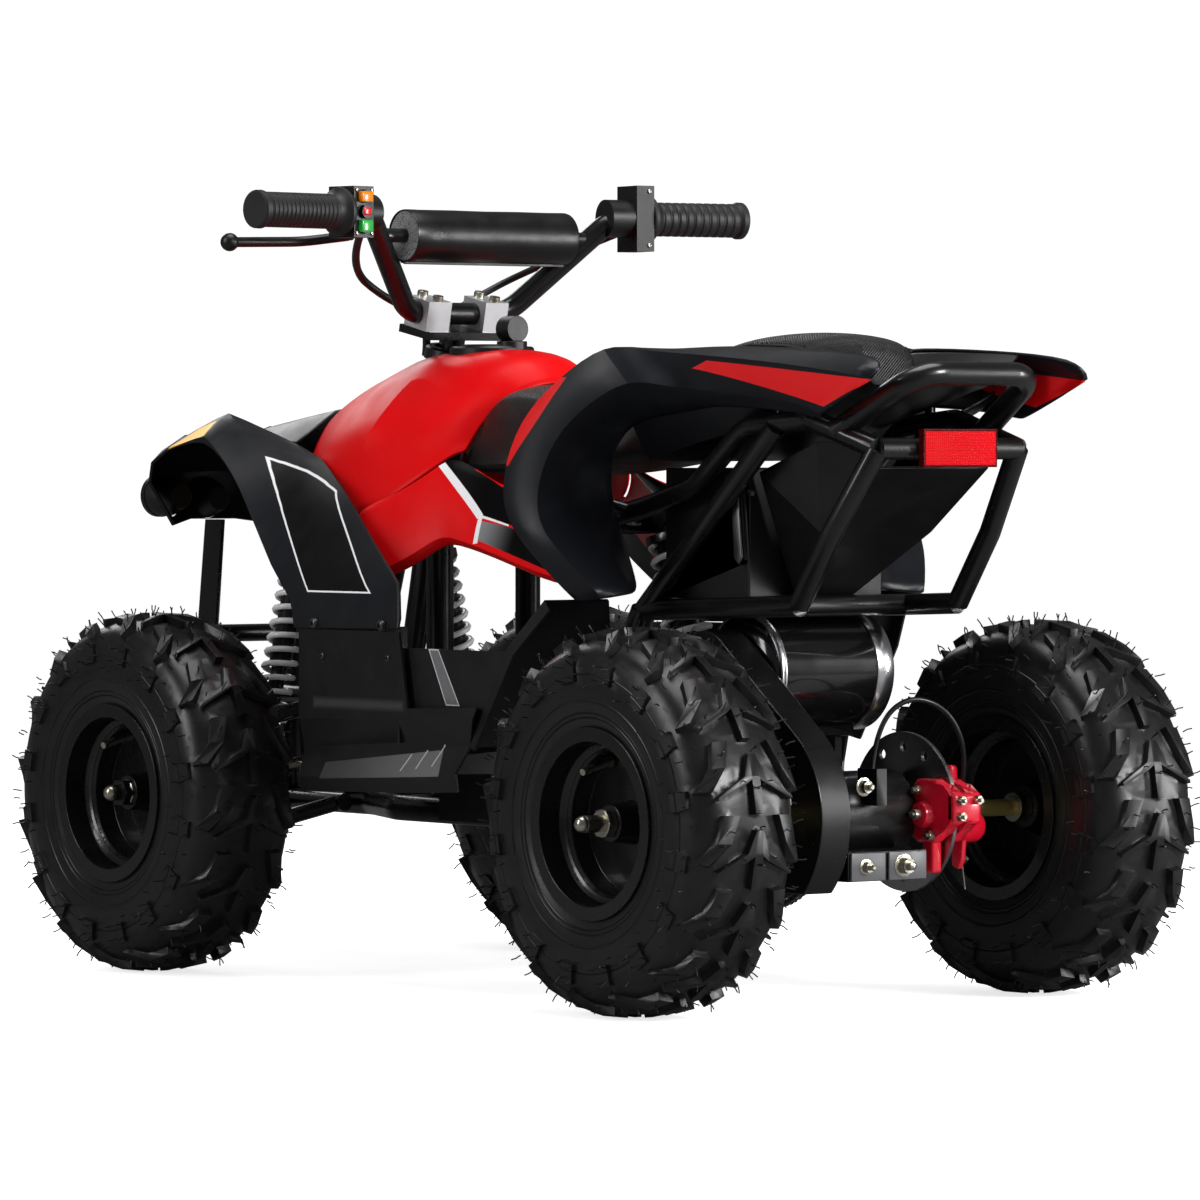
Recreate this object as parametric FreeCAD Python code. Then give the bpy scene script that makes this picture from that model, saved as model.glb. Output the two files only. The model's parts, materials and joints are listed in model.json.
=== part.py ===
import FreeCAD, Part
import math
import os

# Electric quad bike for a child: a tube frame on four knobbly wheels, with a live rear axle driven by
# a chain, a plastic body and a handlebar that steers the front wheels.
# Every length is in millimetres. While it is built, the rear axle is the line Y = 0, Z = 0, the front
# is towards -Y, the rider's left is +X and up is +Z. The finished vehicle is moved so that its origin
# lies on the ground under the middle of its length.

V = FreeCAD.Vector
X_AXIS = V(1, 0, 0)
Y_AXIS = V(0, 1, 0)
Z_AXIS = V(0, 0, 1)

# Driving dimensions of the running gear
WHEELBASE = 750.0
TRACK_REAR = 480.0
TRACK_FRONT = 530.0
TYRE_DIAMETER = 356.0
TYRE_WIDTH = 128.0
RIM_DIAMETER = 152.0
RIM_FLANGE = 12.0
RIM_WIDTH = 114.0
RIM_WALL = 3.0
RIM_DISC_DEPTH = 50.0
HUB_RADIUS = 20.0
SPINDLE_RADIUS = 8.0
AXLE_RADIUS = 8.0
BEARING_GAP = 0.05
SEAT_GAP = 0.3

# Driving dimensions of the frame
TUBE = 12.5
SLIM_TUBE = 10.0
RAIL_X = 97.0
RAIL_Z = -14.0
FRONT_FRAME_X = 55.0
PLATE = 5.0
COLUMN_RADIUS = 12.0
COLUMN_TOP_BACK = 140.0
COLUMN_TOP_Z = 452.0
COLUMN_FOOT_BACK = 54.5
COLUMN_FOOT_Z = 60.0
HEAD_BACK = COLUMN_TOP_BACK - 22
KINGPIN_X = 190.0
KINGPIN_RADIUS = 9.0
STEERING_ARM = 56.0
STEERING_ARM_OUT = 2.0
PITMAN_ARM = 40.0
PITMAN_PIN_X = 17.0
TIE_ROD_RADIUS = 5.5
TIE_ROD_Z = 24.0
TRACK_ROD_PIN = 4.0
FRONT_POST_BACK = 44.0
SHOCK_TOP_X = 80.0
SHOCK_TOP_Z = 256.0
SHOCK_FOOT_X = 146.0
SHOCK_FOOT_UP = -14.0
SHOCK_EYE = 12.0
SUBFRAME_X = 95.0
GRAB_BAR_RADIUS = 11.0
GRAB_BAR_X = 65.0

# Driving dimensions of the drive and the brake
MOTOR_RADIUS = 55.0
MOTOR_Y = -75.0
MOTOR_Z = 131.0
MOTOR_LEFT = 52.0
MOTOR_RIGHT = -78.0
CHAIN_X = 86.0
CHAIN_WIDTH = 9.0
SPROCKET_RADIUS = 82.0
PINION_RADIUS = 20.0
CHAIN_COVER_RADIUS = 98.0
COVER_WALL = 3.0
CARRIER_RADIUS = 40.0
CARRIER_LEFT = 62.0
CARRIER_RIGHT = -57.0
DISC_X = -76.0
DISC_RADIUS = 75.0
DISC_THICKNESS = 4.0
PIVOT_Y = -235.0
PIVOT_Z = -10.0
SHOCK_FOOT_Y = -205.0
SHOCK_FOOT_Z = 60.0

# Driving dimensions of the body and the controls
PANEL = 3.0
FOOT_OUTER_X = 238.0
FOOT_FRONT = -540.0
FOOT_REAR = -272.0
FOOT_FLOOR = 60.0
FOOT_TOP = 165.5
BAR_RADIUS = 11.0
BAR_HALF_WIDTH = 300.0
GRIP_RADIUS = 17.0
GRIP_LENGTH = 110.0
PAD_RADIUS = 26.0
PAD_HALF_LENGTH = 100.0
SPRING_RADIUS = 18.5
SPRING_WIRE = 3.2
SPRING_PITCH = 14.5
BAR_RISE = 96.0
BAR_KNEE_BACK = 60.0
BAR_END_BACK = 80.0
CROSS_BAR_SHARE = 0.78
CONTROLS_LENGTH = 40.0
LAMP_RADIUS = 21.0

# The tread: the height of its lugs and how many times its pattern repeats round the tyre
LUG = 8.0
TREAD_PITCHES = 16

# The tyre's carcass from the crown to the flank: how far across and how far below the crown
CARCASS = ((0, 0), (28, 1.0), (43, 5.5), (53, 14.0), (58, 27.0), (60, 44.0), (59, 62.0))

# The lugs of one pitch. The arrow, its spine and the shoulder block have, for each place out over the
# carcass, where the lug starts and ends along the tread. The curved block has, for each place along
# the tread, its inner and its outer edge.
ARROW = ((-40, -37, -40), (-12, -20, -27), (-3.5, 0, -22), (3.5, 0, -22), (12, -20, -27), (40, -37, -40))
SPINE = ((-4.2, -20, -52), (4.2, -20, -52))
SHOULDER = ((66, -26, -44), (84, -22, -48))
CURVE = ((13, 22, 36), (-11, 29, 43), (-31, 46, 57))

# Each pair of lamps: how far out and how high
LAMPS = ((140.0, 292.0), (86.0, 290.0))

# The saddle: place along it, half its width and the height of its top
SEAT_STATIONS = ((-480, 52, 352), (-420, 62, 372), (-300, 84, 384), (-170, 96, 402), (-60, 82, 444),
                 (30, 66, 442))

FRONT = -WHEELBASE
SEAT_RAIL_Y = FRONT * 0.514
GROUND = -TYRE_DIAMETER / 2
REAR_WHEEL_X = TRACK_REAR / 2
FRONT_WHEEL_X = TRACK_FRONT / 2


# General shapes

def box(x0, x1, y0, y1, z0, z1):
    return Part.makeBox(x1 - x0, y1 - y0, z1 - z0, V(x0, y0, z0))


def rod(start, end, radius):
    return Part.makeCylinder(radius, (end - start).Length, start, end - start)


def ring(start, end, radius, bore):
    return rod(start, end, radius).cut(rod(start, end, bore))


def fuse(shapes):
    joined = shapes[0].fuse(shapes[1:]) if len(shapes) > 1 else shapes[0]
    return joined.removeSplitter()


def mirror(shape):
    return shape.mirror(V(0, 0, 0), X_AXIS)


def revolve_x(profile, centre):
    # Turns a closed outline of (x, radius) points about an axis along X.
    points = [V(x, 0, radius) for x, radius in profile]
    face = Part.Face(Part.makePolygon(points + points[:1]))
    solid = face.revolve(V(0, 0, 0), X_AXIS, 360)
    solid.translate(centre)
    return solid


def prism(points, depth):
    # Pushes a flat outline along a vector.
    return Part.Face(Part.makePolygon(points + points[:1])).extrude(depth)


def path_of(points, bend):
    # Straight runs joined by arcs that touch both runs.
    edges = []
    start = points[0]
    for before, corner, after in zip(points, points[1:], points[2:]):
        back = (before - corner).normalize()
        ahead = (after - corner).normalize()
        half_turn = (math.pi - back.getAngle(ahead)) / 2
        reach = bend * math.tan(half_turn)
        middle = (back + ahead).normalize() * (bend / math.cos(half_turn) - bend)
        edges.append(Part.LineSegment(start, corner + back * reach).toShape())
        edges.append(Part.Arc(corner + back * reach, corner + middle, corner + ahead * reach).toShape())
        start = corner + ahead * reach
    edges.append(Part.LineSegment(start, points[-1]).toShape())
    return Part.Wire(edges)


def tube(points, radius, bend):
    # A round bar bent along straight runs.
    path = path_of(points, bend)
    section = Part.Wire(Part.Circle(points[0], points[1] - points[0], radius).toShape())
    return path.makePipeShell([section], True, False)


def sheet(rows, thickness):
    # A moulded panel: rows of points over its outer face, thickened towards its inner face.
    last_row = len(rows) - 1
    last_column = len(rows[0]) - 1

    def normal(i, j):
        along = rows[min(i + 1, last_row)][j] - rows[max(i - 1, 0)][j]
        beside = rows[i][min(j + 1, last_column)] - rows[i][max(j - 1, 0)]
        return beside.cross(along).normalize()

    inner = [[rows[i][j] - normal(i, j) * thickness for j in range(last_column + 1)]
             for i in range(last_row + 1)]
    faces = []

    def quad(a, b, c, d):
        for triangle in ((a, b, c), (a, c, d)):
            if (triangle[1] - triangle[0]).cross(triangle[2] - triangle[0]).Length > 1e-3:
                faces.append(Part.Face(Part.makePolygon(list(triangle) + [triangle[0]])))

    for i in range(last_row):
        for j in range(last_column):
            quad(rows[i][j], rows[i + 1][j], rows[i + 1][j + 1], rows[i][j + 1])
            quad(inner[i][j], inner[i][j + 1], inner[i + 1][j + 1], inner[i + 1][j])
        for j in (0, last_column):
            quad(rows[i][j], inner[i][j], inner[i + 1][j], rows[i + 1][j])
    for j in range(last_column):
        for i in (0, last_row):
            quad(rows[i][j], rows[i][j + 1], inner[i][j + 1], inner[i][j])
    shell = Part.makeShell(faces)
    shell.sewShape()
    solid = Part.Solid(shell)
    if solid.Volume < 0:
        solid.reverse()
    return solid


def across(half_rows):
    # Rows that run from the centre line to the left are carried on to the right.
    return [[V(-p.x, p.y, p.z) for p in reversed(row) if p.x > 0] + row for row in half_rows]


def stay(start, end, radius, panel):
    # A stay from the frame that ends on the face of the panel it carries.
    pieces = rod(start, end, radius).cut(panel).Solids
    return min(pieces, key=lambda piece: piece.distToShape(Part.Vertex(start))[0])


# Wheels

def rim(x, side):
    # A pressed steel rim open on both faces, its disc set back from the outer face, with its hub.
    half = RIM_WIDTH / 2
    bead = RIM_DIAMETER / 2
    flange = bead + RIM_FLANGE
    well = bead - 8
    disc = half - RIM_DISC_DEPTH
    profile = [(half, flange), (half - RIM_WALL, flange), (half - RIM_WALL, bead + RIM_WALL),
               (half - 22, bead + 1), (half - 27, well), (27 - half, well), (22 - half, bead + 1),
               (RIM_WALL - half, bead + RIM_WALL), (RIM_WALL - half, flange), (-half, flange),
               (-half, bead - 1), (23 - half, bead - 2), (30 - half, well - RIM_WALL),
               (disc - RIM_WALL, well - RIM_WALL), (disc - RIM_WALL, HUB_RADIUS + 8),
               (disc - 24, HUB_RADIUS), (disc - 24, SPINDLE_RADIUS + BEARING_GAP),
               (disc + 26, SPINDLE_RADIUS + BEARING_GAP), (disc + 26, HUB_RADIUS - 3),
               (disc, HUB_RADIUS), (disc, well - RIM_WALL), (half - 30, well - RIM_WALL),
               (half - 23, bead - 2), (half, bead - 1)]
    return revolve_x([(side * a, r) for a, r in profile], V(x, 0, 0))


def on_tread(out, along, height, start):
    # A place on the tyre: out over the carcass, along the tread from an angle, and up from the carcass.
    crown = TYRE_DIAMETER / 2 - LUG
    side = 1 if out >= 0 else -1
    left = abs(out)
    for (x0, drop0), (x1, drop1) in zip(CARCASS, CARCASS[1:]):
        step = math.hypot(x1 - x0, drop1 - drop0)
        if left <= step:
            break
        left -= step
    share = left / step
    x = x0 + (x1 - x0) * share + height * (drop1 - drop0) / step
    radius = crown - drop0 - (drop1 - drop0) * share + height * (x1 - x0) / step
    angle = start + along / crown
    return V(side * x, -radius * math.sin(angle), radius * math.cos(angle))


def lugs(start):
    # The lugs of one pitch: an arrow with its spine, and on each side a curved block and a shoulder block.
    root = 2.5
    shoulder = LUG / 2
    blocks = []
    for outline in (ARROW, SPINE):
        rows = [[on_tread(out, last, LUG, start), on_tread(out, first, LUG, start)]
                for out, first, last in outline]
        blocks.append(sheet(rows, LUG + root))
    for side in (1, -1):
        rows = [[on_tread(side * edge, along, LUG, start) for edge in edges] for along, *edges in CURVE]
        blocks.append(sheet([row[::side] for row in rows], LUG + root))
        rows = [[on_tread(side * out, last, shoulder, start), on_tread(side * out, first, shoulder, start)]
                for out, first, last in SHOULDER]
        blocks.append(sheet(rows[::side], shoulder + root))
    return blocks


def tyre():
    # A balloon tyre with its lugs, seated on the rim's bead and inside its flanges.
    half = TYRE_WIDTH / 2
    crown = TYRE_DIAMETER / 2 - LUG
    bead = RIM_DIAMETER / 2
    inside = RIM_WIDTH / 2 - RIM_WALL - SEAT_GAP
    flange = bead + RIM_FLANGE + SEAT_GAP
    outer_side = [(x, crown - drop) for x, drop in CARCASS]
    outer_side += [(inside + 2, flange + 4), (inside, flange), (inside, bead + RIM_WALL + SEAT_GAP),
                   (inside - 17, bead + 1 + SEAT_GAP), (inside - 23, bead + 1 + SEAT_GAP),
                   (inside - 20, bead + 22), (half * 0.8, crown - 42), (half * 0.7, crown - 16)]
    left = [(-x, radius) for x, radius in reversed(outer_side[1:])]
    carcass = revolve_x(outer_side + [(0, crown - 10)] + left, V(0, 0, 0))
    blocks = []
    for k in range(TREAD_PITCHES):
        blocks += lugs(2 * math.pi * k / TREAD_PITCHES)
    return carcass.fuse(blocks)


def wheel_nodes():
    nodes = {}
    knobbly = tyre()
    for side, name in ((1, "left"), (-1, "right")):
        nodes["rear_rim_" + name] = rim(side * REAR_WHEEL_X, side)
        nodes["rear_tyre_" + name] = knobbly.translated(V(side * REAR_WHEEL_X, 0, 0))
        front_rim = rim(side * FRONT_WHEEL_X, side)
        front_tyre = knobbly.translated(V(side * FRONT_WHEEL_X, 0, 0))
        for shape in (front_rim, front_tyre):
            shape.translate(V(0, FRONT, 0))
        nodes["front_rim_" + name] = front_rim
        nodes["front_tyre_" + name] = front_tyre
    return nodes


# Live rear axle

def rear_axle():
    # One shaft through both wheels, with a shoulder inside each rim, a lock nut outside it and the
    # flanges that carry the sprocket and the brake disc.
    rim_disc = REAR_WHEEL_X + RIM_WIDTH / 2 - RIM_DISC_DEPTH
    end = REAR_WHEEL_X + RIM_WIDTH / 2 + 6
    parts = [rod(V(-end, 0, 0), V(end, 0, 0), AXLE_RADIUS)]
    for side in (1, -1):
        hub_in = rim_disc - 24 - SEAT_GAP
        hub_out = rim_disc + 26 + SEAT_GAP
        parts.append(rod(V(side * (hub_in - 14), 0, 0), V(side * hub_in, 0, 0), AXLE_RADIUS + 6))
        nut = prism([V(side * hub_out, 14 * math.cos(k * math.pi / 3), 14 * math.sin(k * math.pi / 3))
                     for k in range(6)], V(side * 10, 0, 0))
        parts.append(nut)
    sprocket_side = CHAIN_X - CHAIN_WIDTH / 2
    parts.append(rod(V(CARRIER_LEFT + 2, 0, 0), V(sprocket_side, 0, 0), 24))
    disc_side = DISC_X + DISC_THICKNESS / 2
    parts.append(rod(V(disc_side, 0, 0), V(CARRIER_RIGHT - 2, 0, 0), 24))
    return fuse(parts)


def axle_sprocket():
    face = CHAIN_X - CHAIN_WIDTH / 2
    plate = ring(V(face, 0, 0), V(face + 6, 0, 0), SPROCKET_RADIUS - 4.5, AXLE_RADIUS + BEARING_GAP)
    window_ring = 48.0
    for k in range(5):
        angle = 2 * math.pi * k / 5
        centre = V(face, window_ring * math.cos(angle), window_ring * math.sin(angle))
        plate = plate.cut(rod(centre, centre + X_AXIS * 6, 15))
    return plate


def brake_disc():
    # A drilled disc bolted to the axle's flange.
    face = DISC_X - DISC_THICKNESS / 2
    depth = V(DISC_THICKNESS, 0, 0)
    plate = rod(V(face, 0, 0), V(face, 0, 0) + depth, DISC_RADIUS)
    plate = plate.cut(rod(V(face, 0, 0), V(face, 0, 0) + depth, AXLE_RADIUS + BEARING_GAP))
    holes = 12
    for k in range(holes):
        angle = 2 * math.pi * k / holes
        centre = V(face, (DISC_RADIUS - 14) * math.cos(angle), (DISC_RADIUS - 14) * math.sin(angle))
        plate = plate.cut(rod(centre, centre + depth, 4.5))
    return plate


# Drive and brake on the frame

def swing_arm():
    # The axle carrier, its bearing housing round the shaft, and two arms back from the frame's pivot.
    housing = ring(V(CARRIER_RIGHT, 0, 0), V(CARRIER_LEFT, 0, 0), CARRIER_RADIUS, AXLE_RADIUS + BEARING_GAP)
    relief = rod(V(CARRIER_RIGHT + 12, 0, 0), V(CARRIER_LEFT - 12, 0, 0), AXLE_RADIUS + 14)
    housing = housing.cut(relief)
    parts = [housing]
    for x in (-45.0, 45.0):
        parts.append(prism([V(x - 4, -30, -24), V(x - 4, -30, 30), V(x - 4, PIVOT_Y, PIVOT_Z + 12),
                            V(x - 4, PIVOT_Y, PIVOT_Z - 12)], V(8, 0, 0)))
    barrel = ring(V(-50, PIVOT_Y, PIVOT_Z), V(50, PIVOT_Y, PIVOT_Z), 15, 8)
    bracket_height = 27.0
    bracket = box(-42, 52, 20, 72, -45 - bracket_height / 2, -45 + bracket_height / 2)
    lug = box(-6, 6, 30, 58, 10, 44)
    motor_foot = MOTOR_Z - MOTOR_RADIUS - 6 - SEAT_GAP
    for x in (-49.0, 41.0):
        parts.append(box(x, x + 8, MOTOR_Y - 40, MOTOR_Y + 15, -20, motor_foot))
        parts.append(prism([V(x, SHOCK_FOOT_Y - 20, -10), V(x, SHOCK_FOOT_Y + 20, -10),
                            V(x, SHOCK_FOOT_Y + 10, 46), V(x, SHOCK_FOOT_Y - 10, 46)], V(8, 0, 0)))
    shock_seat = SHOCK_FOOT_Z - SHOCK_EYE - 8 - SEAT_GAP
    parts.append(rod(V(-45, SHOCK_FOOT_Y, shock_seat), V(45, SHOCK_FOOT_Y, shock_seat), 8))
    cover_edge = CHAIN_X - CHAIN_WIDTH / 2 - 12 - SEAT_GAP
    cover_middle = CHAIN_COVER_RADIUS - COVER_WALL / 2
    parts.append(rod(V(45, -cover_middle, 0), V(cover_edge, -cover_middle, 0), 4))
    parts += [barrel, bracket, lug]
    body = fuse(parts)
    return body.cut(rod(V(CARRIER_RIGHT, 0, 0), V(CARRIER_LEFT, 0, 0), AXLE_RADIUS + BEARING_GAP))


def motor():
    # A round motor lying across the frame behind the battery box, its shaft on the chain's side.
    body = rod(V(MOTOR_RIGHT, MOTOR_Y, MOTOR_Z), V(MOTOR_LEFT, MOTOR_Y, MOTOR_Z), MOTOR_RADIUS)
    cap = Part.makeCone(MOTOR_RADIUS, MOTOR_RADIUS - 12, 10, V(MOTOR_LEFT, MOTOR_Y, MOTOR_Z), X_AXIS)
    boss = rod(V(MOTOR_LEFT, MOTOR_Y, MOTOR_Z), V(MOTOR_LEFT + 16, MOTOR_Y, MOTOR_Z), 18)
    shaft = rod(V(MOTOR_LEFT, MOTOR_Y, MOTOR_Z), V(CHAIN_X + 8, MOTOR_Y, MOTOR_Z), 5)
    pinion = rod(V(CHAIN_X - 3, MOTOR_Y, MOTOR_Z), V(CHAIN_X + 3, MOTOR_Y, MOTOR_Z), PINION_RADIUS - 4.4)
    foot = box(-60, 30, MOTOR_Y - 45, MOTOR_Y + 20, MOTOR_Z - MOTOR_RADIUS - 6, MOTOR_Z - 30)
    return fuse([body, cap, boss, shaft, pinion, foot])


def belt_outline(big, small, x, depth):
    # The outline of a loop round the axle's sprocket and the motor's pinion.
    distance = math.hypot(MOTOR_Y, MOTOR_Z)
    line = math.atan2(MOTOR_Z, MOTOR_Y)
    spread = math.acos((big - small) / distance)
    first = line + spread
    second = line - spread

    def on(centre, radius, angle):
        return V(x, centre[0] + radius * math.cos(angle), centre[1] + radius * math.sin(angle))

    axle = (0.0, 0.0)
    pinion = (MOTOR_Y, MOTOR_Z)
    edges = [Part.Arc(on(axle, big, first), on(axle, big, line + math.pi), on(axle, big, second)).toShape(),
             Part.LineSegment(on(axle, big, second), on(pinion, small, second)).toShape(),
             Part.Arc(on(pinion, small, second), on(pinion, small, line), on(pinion, small, first)).toShape(),
             Part.LineSegment(on(pinion, small, first), on(axle, big, first)).toShape()]
    return Part.Face(Part.Wire(edges)).extrude(V(depth, 0, 0))


def drive_chain():
    # One closed loop of chain round the sprocket and the pinion.
    face = CHAIN_X - CHAIN_WIDTH / 2
    height = 8.0
    loop = belt_outline(SPROCKET_RADIUS + 4, PINION_RADIUS + 4, face, CHAIN_WIDTH)
    inside = belt_outline(SPROCKET_RADIUS + 4 - height, PINION_RADIUS + 4 - height, face, CHAIN_WIDTH)
    return loop.cut(inside)


def chain_cover():
    # A dish over the chain's outer side and rim, cut off flat below so that the chain shows.
    left = CHAIN_X + CHAIN_WIDTH / 2 + 14
    right = CHAIN_X - CHAIN_WIDTH / 2 - 12
    small = PINION_RADIUS + 20
    dish = belt_outline(CHAIN_COVER_RADIUS, small, right, left - right)
    hollow = belt_outline(CHAIN_COVER_RADIUS - COVER_WALL, small - COVER_WALL, right,
                          left - right - COVER_WALL)
    dish = dish.cut(hollow)
    cut_height = -68.0
    dish = dish.cut(box(0, 200, -200, 200, GROUND, cut_height))
    hole = rod(V(right, 0, 0), V(left, 0, 0), AXLE_RADIUS + 16)
    return dish.cut(hole)


def brake_caliper():
    # A red cable-pulled caliper that straddles the disc behind the axle, on the carrier's bracket.
    gap = 1.5
    inner = DISC_X + DISC_THICKNESS / 2 + gap
    outer = DISC_X - DISC_THICKNESS / 2 - gap
    half_in = box(inner, inner + 14, 28, 72, -28, 34)
    half_out = box(outer - 14, outer, 28, 72, -28, 34)
    bridge = box(outer - 14, inner + 14, DISC_RADIUS + 4, DISC_RADIUS + 18, -10, 24)
    shoulders = [box(inner, inner + 14, 60, DISC_RADIUS + 18, -10, 24),
                 box(outer - 14, outer, 60, DISC_RADIUS + 18, -10, 24)]
    arm = prism([V(outer - 24, 40, -52), V(outer - 24, 54, -52), V(outer - 24, 62, 6),
                 V(outer - 24, 40, 6)], V(10, 0, 0))
    piston = rod(V(outer - 14, 50, -13), V(outer - 46, 50, -13), 13)
    ear = rod(V(outer - 7, 50, 34), V(outer - 7, 50, 46), 7)
    pivot = rod(V(inner + 14, 50, 0), V(inner + 22, 50, 0), 10)
    mount = prism([V(inner, 44, -20), V(inner, 60, -20), V(inner, 60, -56), V(inner, 44, -56)],
                  V(-42 - SEAT_GAP - inner, 0, 0))
    return fuse([half_in, half_out, bridge, arm, mount, piston, ear, pivot] + shoulders)


# Frame

def frame_rail(side, radius):
    nose = FRONT - 62
    return tube([V(side * FRONT_FRAME_X, nose, RAIL_Z), V(side * FRONT_FRAME_X, FRONT + 80, RAIL_Z),
                 V(side * RAIL_X, FRONT + 180, RAIL_Z), V(side * RAIL_X, PIVOT_Y - 60, RAIL_Z),
                 V(side * 66, PIVOT_Y, RAIL_Z + 4)], radius, 45)


def frame_rails():
    # Two lower rails from the front axle back to the swing arm's pivot, tied by cross tubes.
    nose = FRONT - 62
    parts = [frame_rail(side, TUBE) for side in (1, -1)]
    parts.append(rod(V(-76, nose, RAIL_Z), V(76, nose, RAIL_Z), TUBE))
    parts.append(rod(V(-FRONT_FRAME_X, FRONT + FRONT_POST_BACK, RAIL_Z),
                     V(FRONT_FRAME_X, FRONT + FRONT_POST_BACK, RAIL_Z), SLIM_TUBE))
    for y, radius in ((FRONT + 190, TUBE), (PIVOT_Y - 90, SLIM_TUBE)):
        parts.append(rod(V(-RAIL_X, y, RAIL_Z), V(RAIL_X, y, RAIL_Z), radius))
    parts.append(rod(V(-72, PIVOT_Y, PIVOT_Z), V(-50 - SEAT_GAP, PIVOT_Y, PIVOT_Z), 14))
    parts.append(rod(V(50 + SEAT_GAP, PIVOT_Y, PIVOT_Z), V(72, PIVOT_Y, PIVOT_Z), 14))
    return fuse(parts)


def steering_head():
    # The front loops that hold the suspension arms, and the two pairs of tubes up to the steering head.
    parts = []
    low = RAIL_Z + TUBE + SEAT_GAP
    for side in (1, -1):
        x = side * FRONT_FRAME_X
        parts.append(tube([V(x, FRONT - 62, low), V(x, FRONT - 62, 150), V(x, FRONT - 20, 275),
                           V(x, FRONT + 200, 290), V(x, SEAT_RAIL_Y - 4.5, 268)], TUBE, 50))
        parts.append(rod(V(x, FRONT + FRONT_POST_BACK, low), V(x, FRONT + FRONT_POST_BACK, 278), TUBE))
        parts.append(rod(V(x, FRONT + 190, low), V(x, FRONT + 190, 287), TUBE))
    for y, z in ((FRONT - 10, 277), (FRONT + 200, 290), (FRONT + 340, 270)):
        parts.append(rod(V(-FRONT_FRAME_X, y, z), V(FRONT_FRAME_X, y, z), SLIM_TUBE))
    tower_z = SHOCK_TOP_Z + SHOCK_EYE + 8 + SEAT_GAP
    tower = rod(V(-104, FRONT - 4, tower_z), V(104, FRONT - 4, tower_z), 8)
    for side in (1, -1):
        head = V(side * 26, FRONT + HEAD_BACK + 14, 396)
        parts.append(rod(V(side * FRONT_FRAME_X, FRONT + FRONT_POST_BACK, 278), head, TUBE - 2))
        parts.append(rod(V(side * FRONT_FRAME_X, FRONT + 200, 290), head, TUBE - 2))
    head_low = column_point(0.763)
    head_high = column_point(0.914)
    sleeve = rod(head_low, head_high, COLUMN_RADIUS + 12)
    body = fuse(parts + [tower, sleeve])
    return body.cut(rod(column_point(0), column_point(1), COLUMN_RADIUS + BEARING_GAP))


def upper_rail(side, radius):
    x = side * SUBFRAME_X
    return tube([V(side * FRONT_FRAME_X, SEAT_RAIL_Y, 268), V(x, -270, 268), V(x, -175, 285),
                 V(x, -100, 304), V(x, -25, 360), V(side * 88, 60, 367), V(side * 84, 152, 340)], radius, 40)


def rear_subframe():
    # The open tube frame behind the battery box that carries the seat, the rear body and the grab bar.
    slim = SLIM_TUBE
    parts = []
    foot_y = -178.0
    foot_z = 188.0
    for side in (1, -1):
        x = side * SUBFRAME_X
        parts.append(tube([V(x, foot_y, foot_z), V(x, 20, 360)], slim, 30))
        parts.append(tube([V(x, 54, foot_z + 8), V(x, 100, 262), V(side * 84, 152, 340)], slim, 40))
        parts.append(upper_rail(side, slim))
        parts.append(rod(V(x, foot_y, foot_z), V(x, 54, foot_z + 8), slim))
        leg = rod(V(x, foot_y, foot_z), V(x, PIVOT_Y - 60, RAIL_Z), TUBE)
        parts.append(leg.cut(frame_rail(side, TUBE + SEAT_GAP)))
    for y, z in ((foot_y, foot_z), (-150, foot_z + 1), (-21, foot_z + 5.5)):
        parts.append(rod(V(-SUBFRAME_X + 2, y, z), V(SUBFRAME_X - 2, y, z), slim))
    parts.append(rod(V(-84, 152, 340), V(84, 152, 340), slim))
    parts.append(rod(V(-SUBFRAME_X, -282, 268), V(SUBFRAME_X, -282, 268), slim))
    for side in (1, -1):
        fender = rear_fender(side)
        parts.append(stay(V(side * SUBFRAME_X, -190, 281), V(side * 150, -240, 302), 5, fender))
        parts.append(stay(V(side * 88, 60, 367), V(side * 150, 75, 402), 5, fender))
        panel = side_panel() if side > 0 else mirror(side_panel())
        parts.append(stay(V(side * SUBFRAME_X, -262, 268), V(side * 150, -262, 252), 5, panel))
        parts.append(stay(V(side * 90, 20, 364), V(side * 90, 20, 440), 5, rear_deck()))
    return fuse(parts)


def grab_bar():
    # A bent bar over the tail, its two feet on the subframe's rear cross tube.
    foot = [V(88, 100, 356), V(GRAB_BAR_X + 4, 192, 408)]
    over = [V(-p.x, p.y, p.z) for p in reversed(foot)]
    bar = tube(foot + over, GRAB_BAR_RADIUS, 34)
    for side in (1, -1):
        bar = bar.cut(upper_rail(side, SLIM_TUBE + SEAT_GAP))
    return max(bar.Solids, key=lambda solid: solid.Volume)


def front_bumper():
    # Two swept plates from the lower front of the frame up to the mask, joined by two bars.
    parts = []
    for side in (1, -1):
        x = side * 70
        foot = FRONT - 62 - TUBE - SEAT_GAP
        parts.append(prism([V(x, foot, RAIL_Z + 12), V(x, foot, RAIL_Z - 12), V(x, FRONT - 150, 40),
                            V(x, FRONT - 205, 150), V(x, FRONT - 190, 267.5), V(x, FRONT - 160, 267.5),
                            V(x, FRONT - 172, 156), V(x, FRONT - 126, 62)], V(side * PLATE, 0, 0)))
    parts.append(rod(V(-71, FRONT - 186, 150), V(71, FRONT - 186, 150), 9))
    parts.append(rod(V(-71, FRONT - 132, 48), V(71, FRONT - 132, 48), 9))
    return fuse(parts)


# Front suspension and steering

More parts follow.
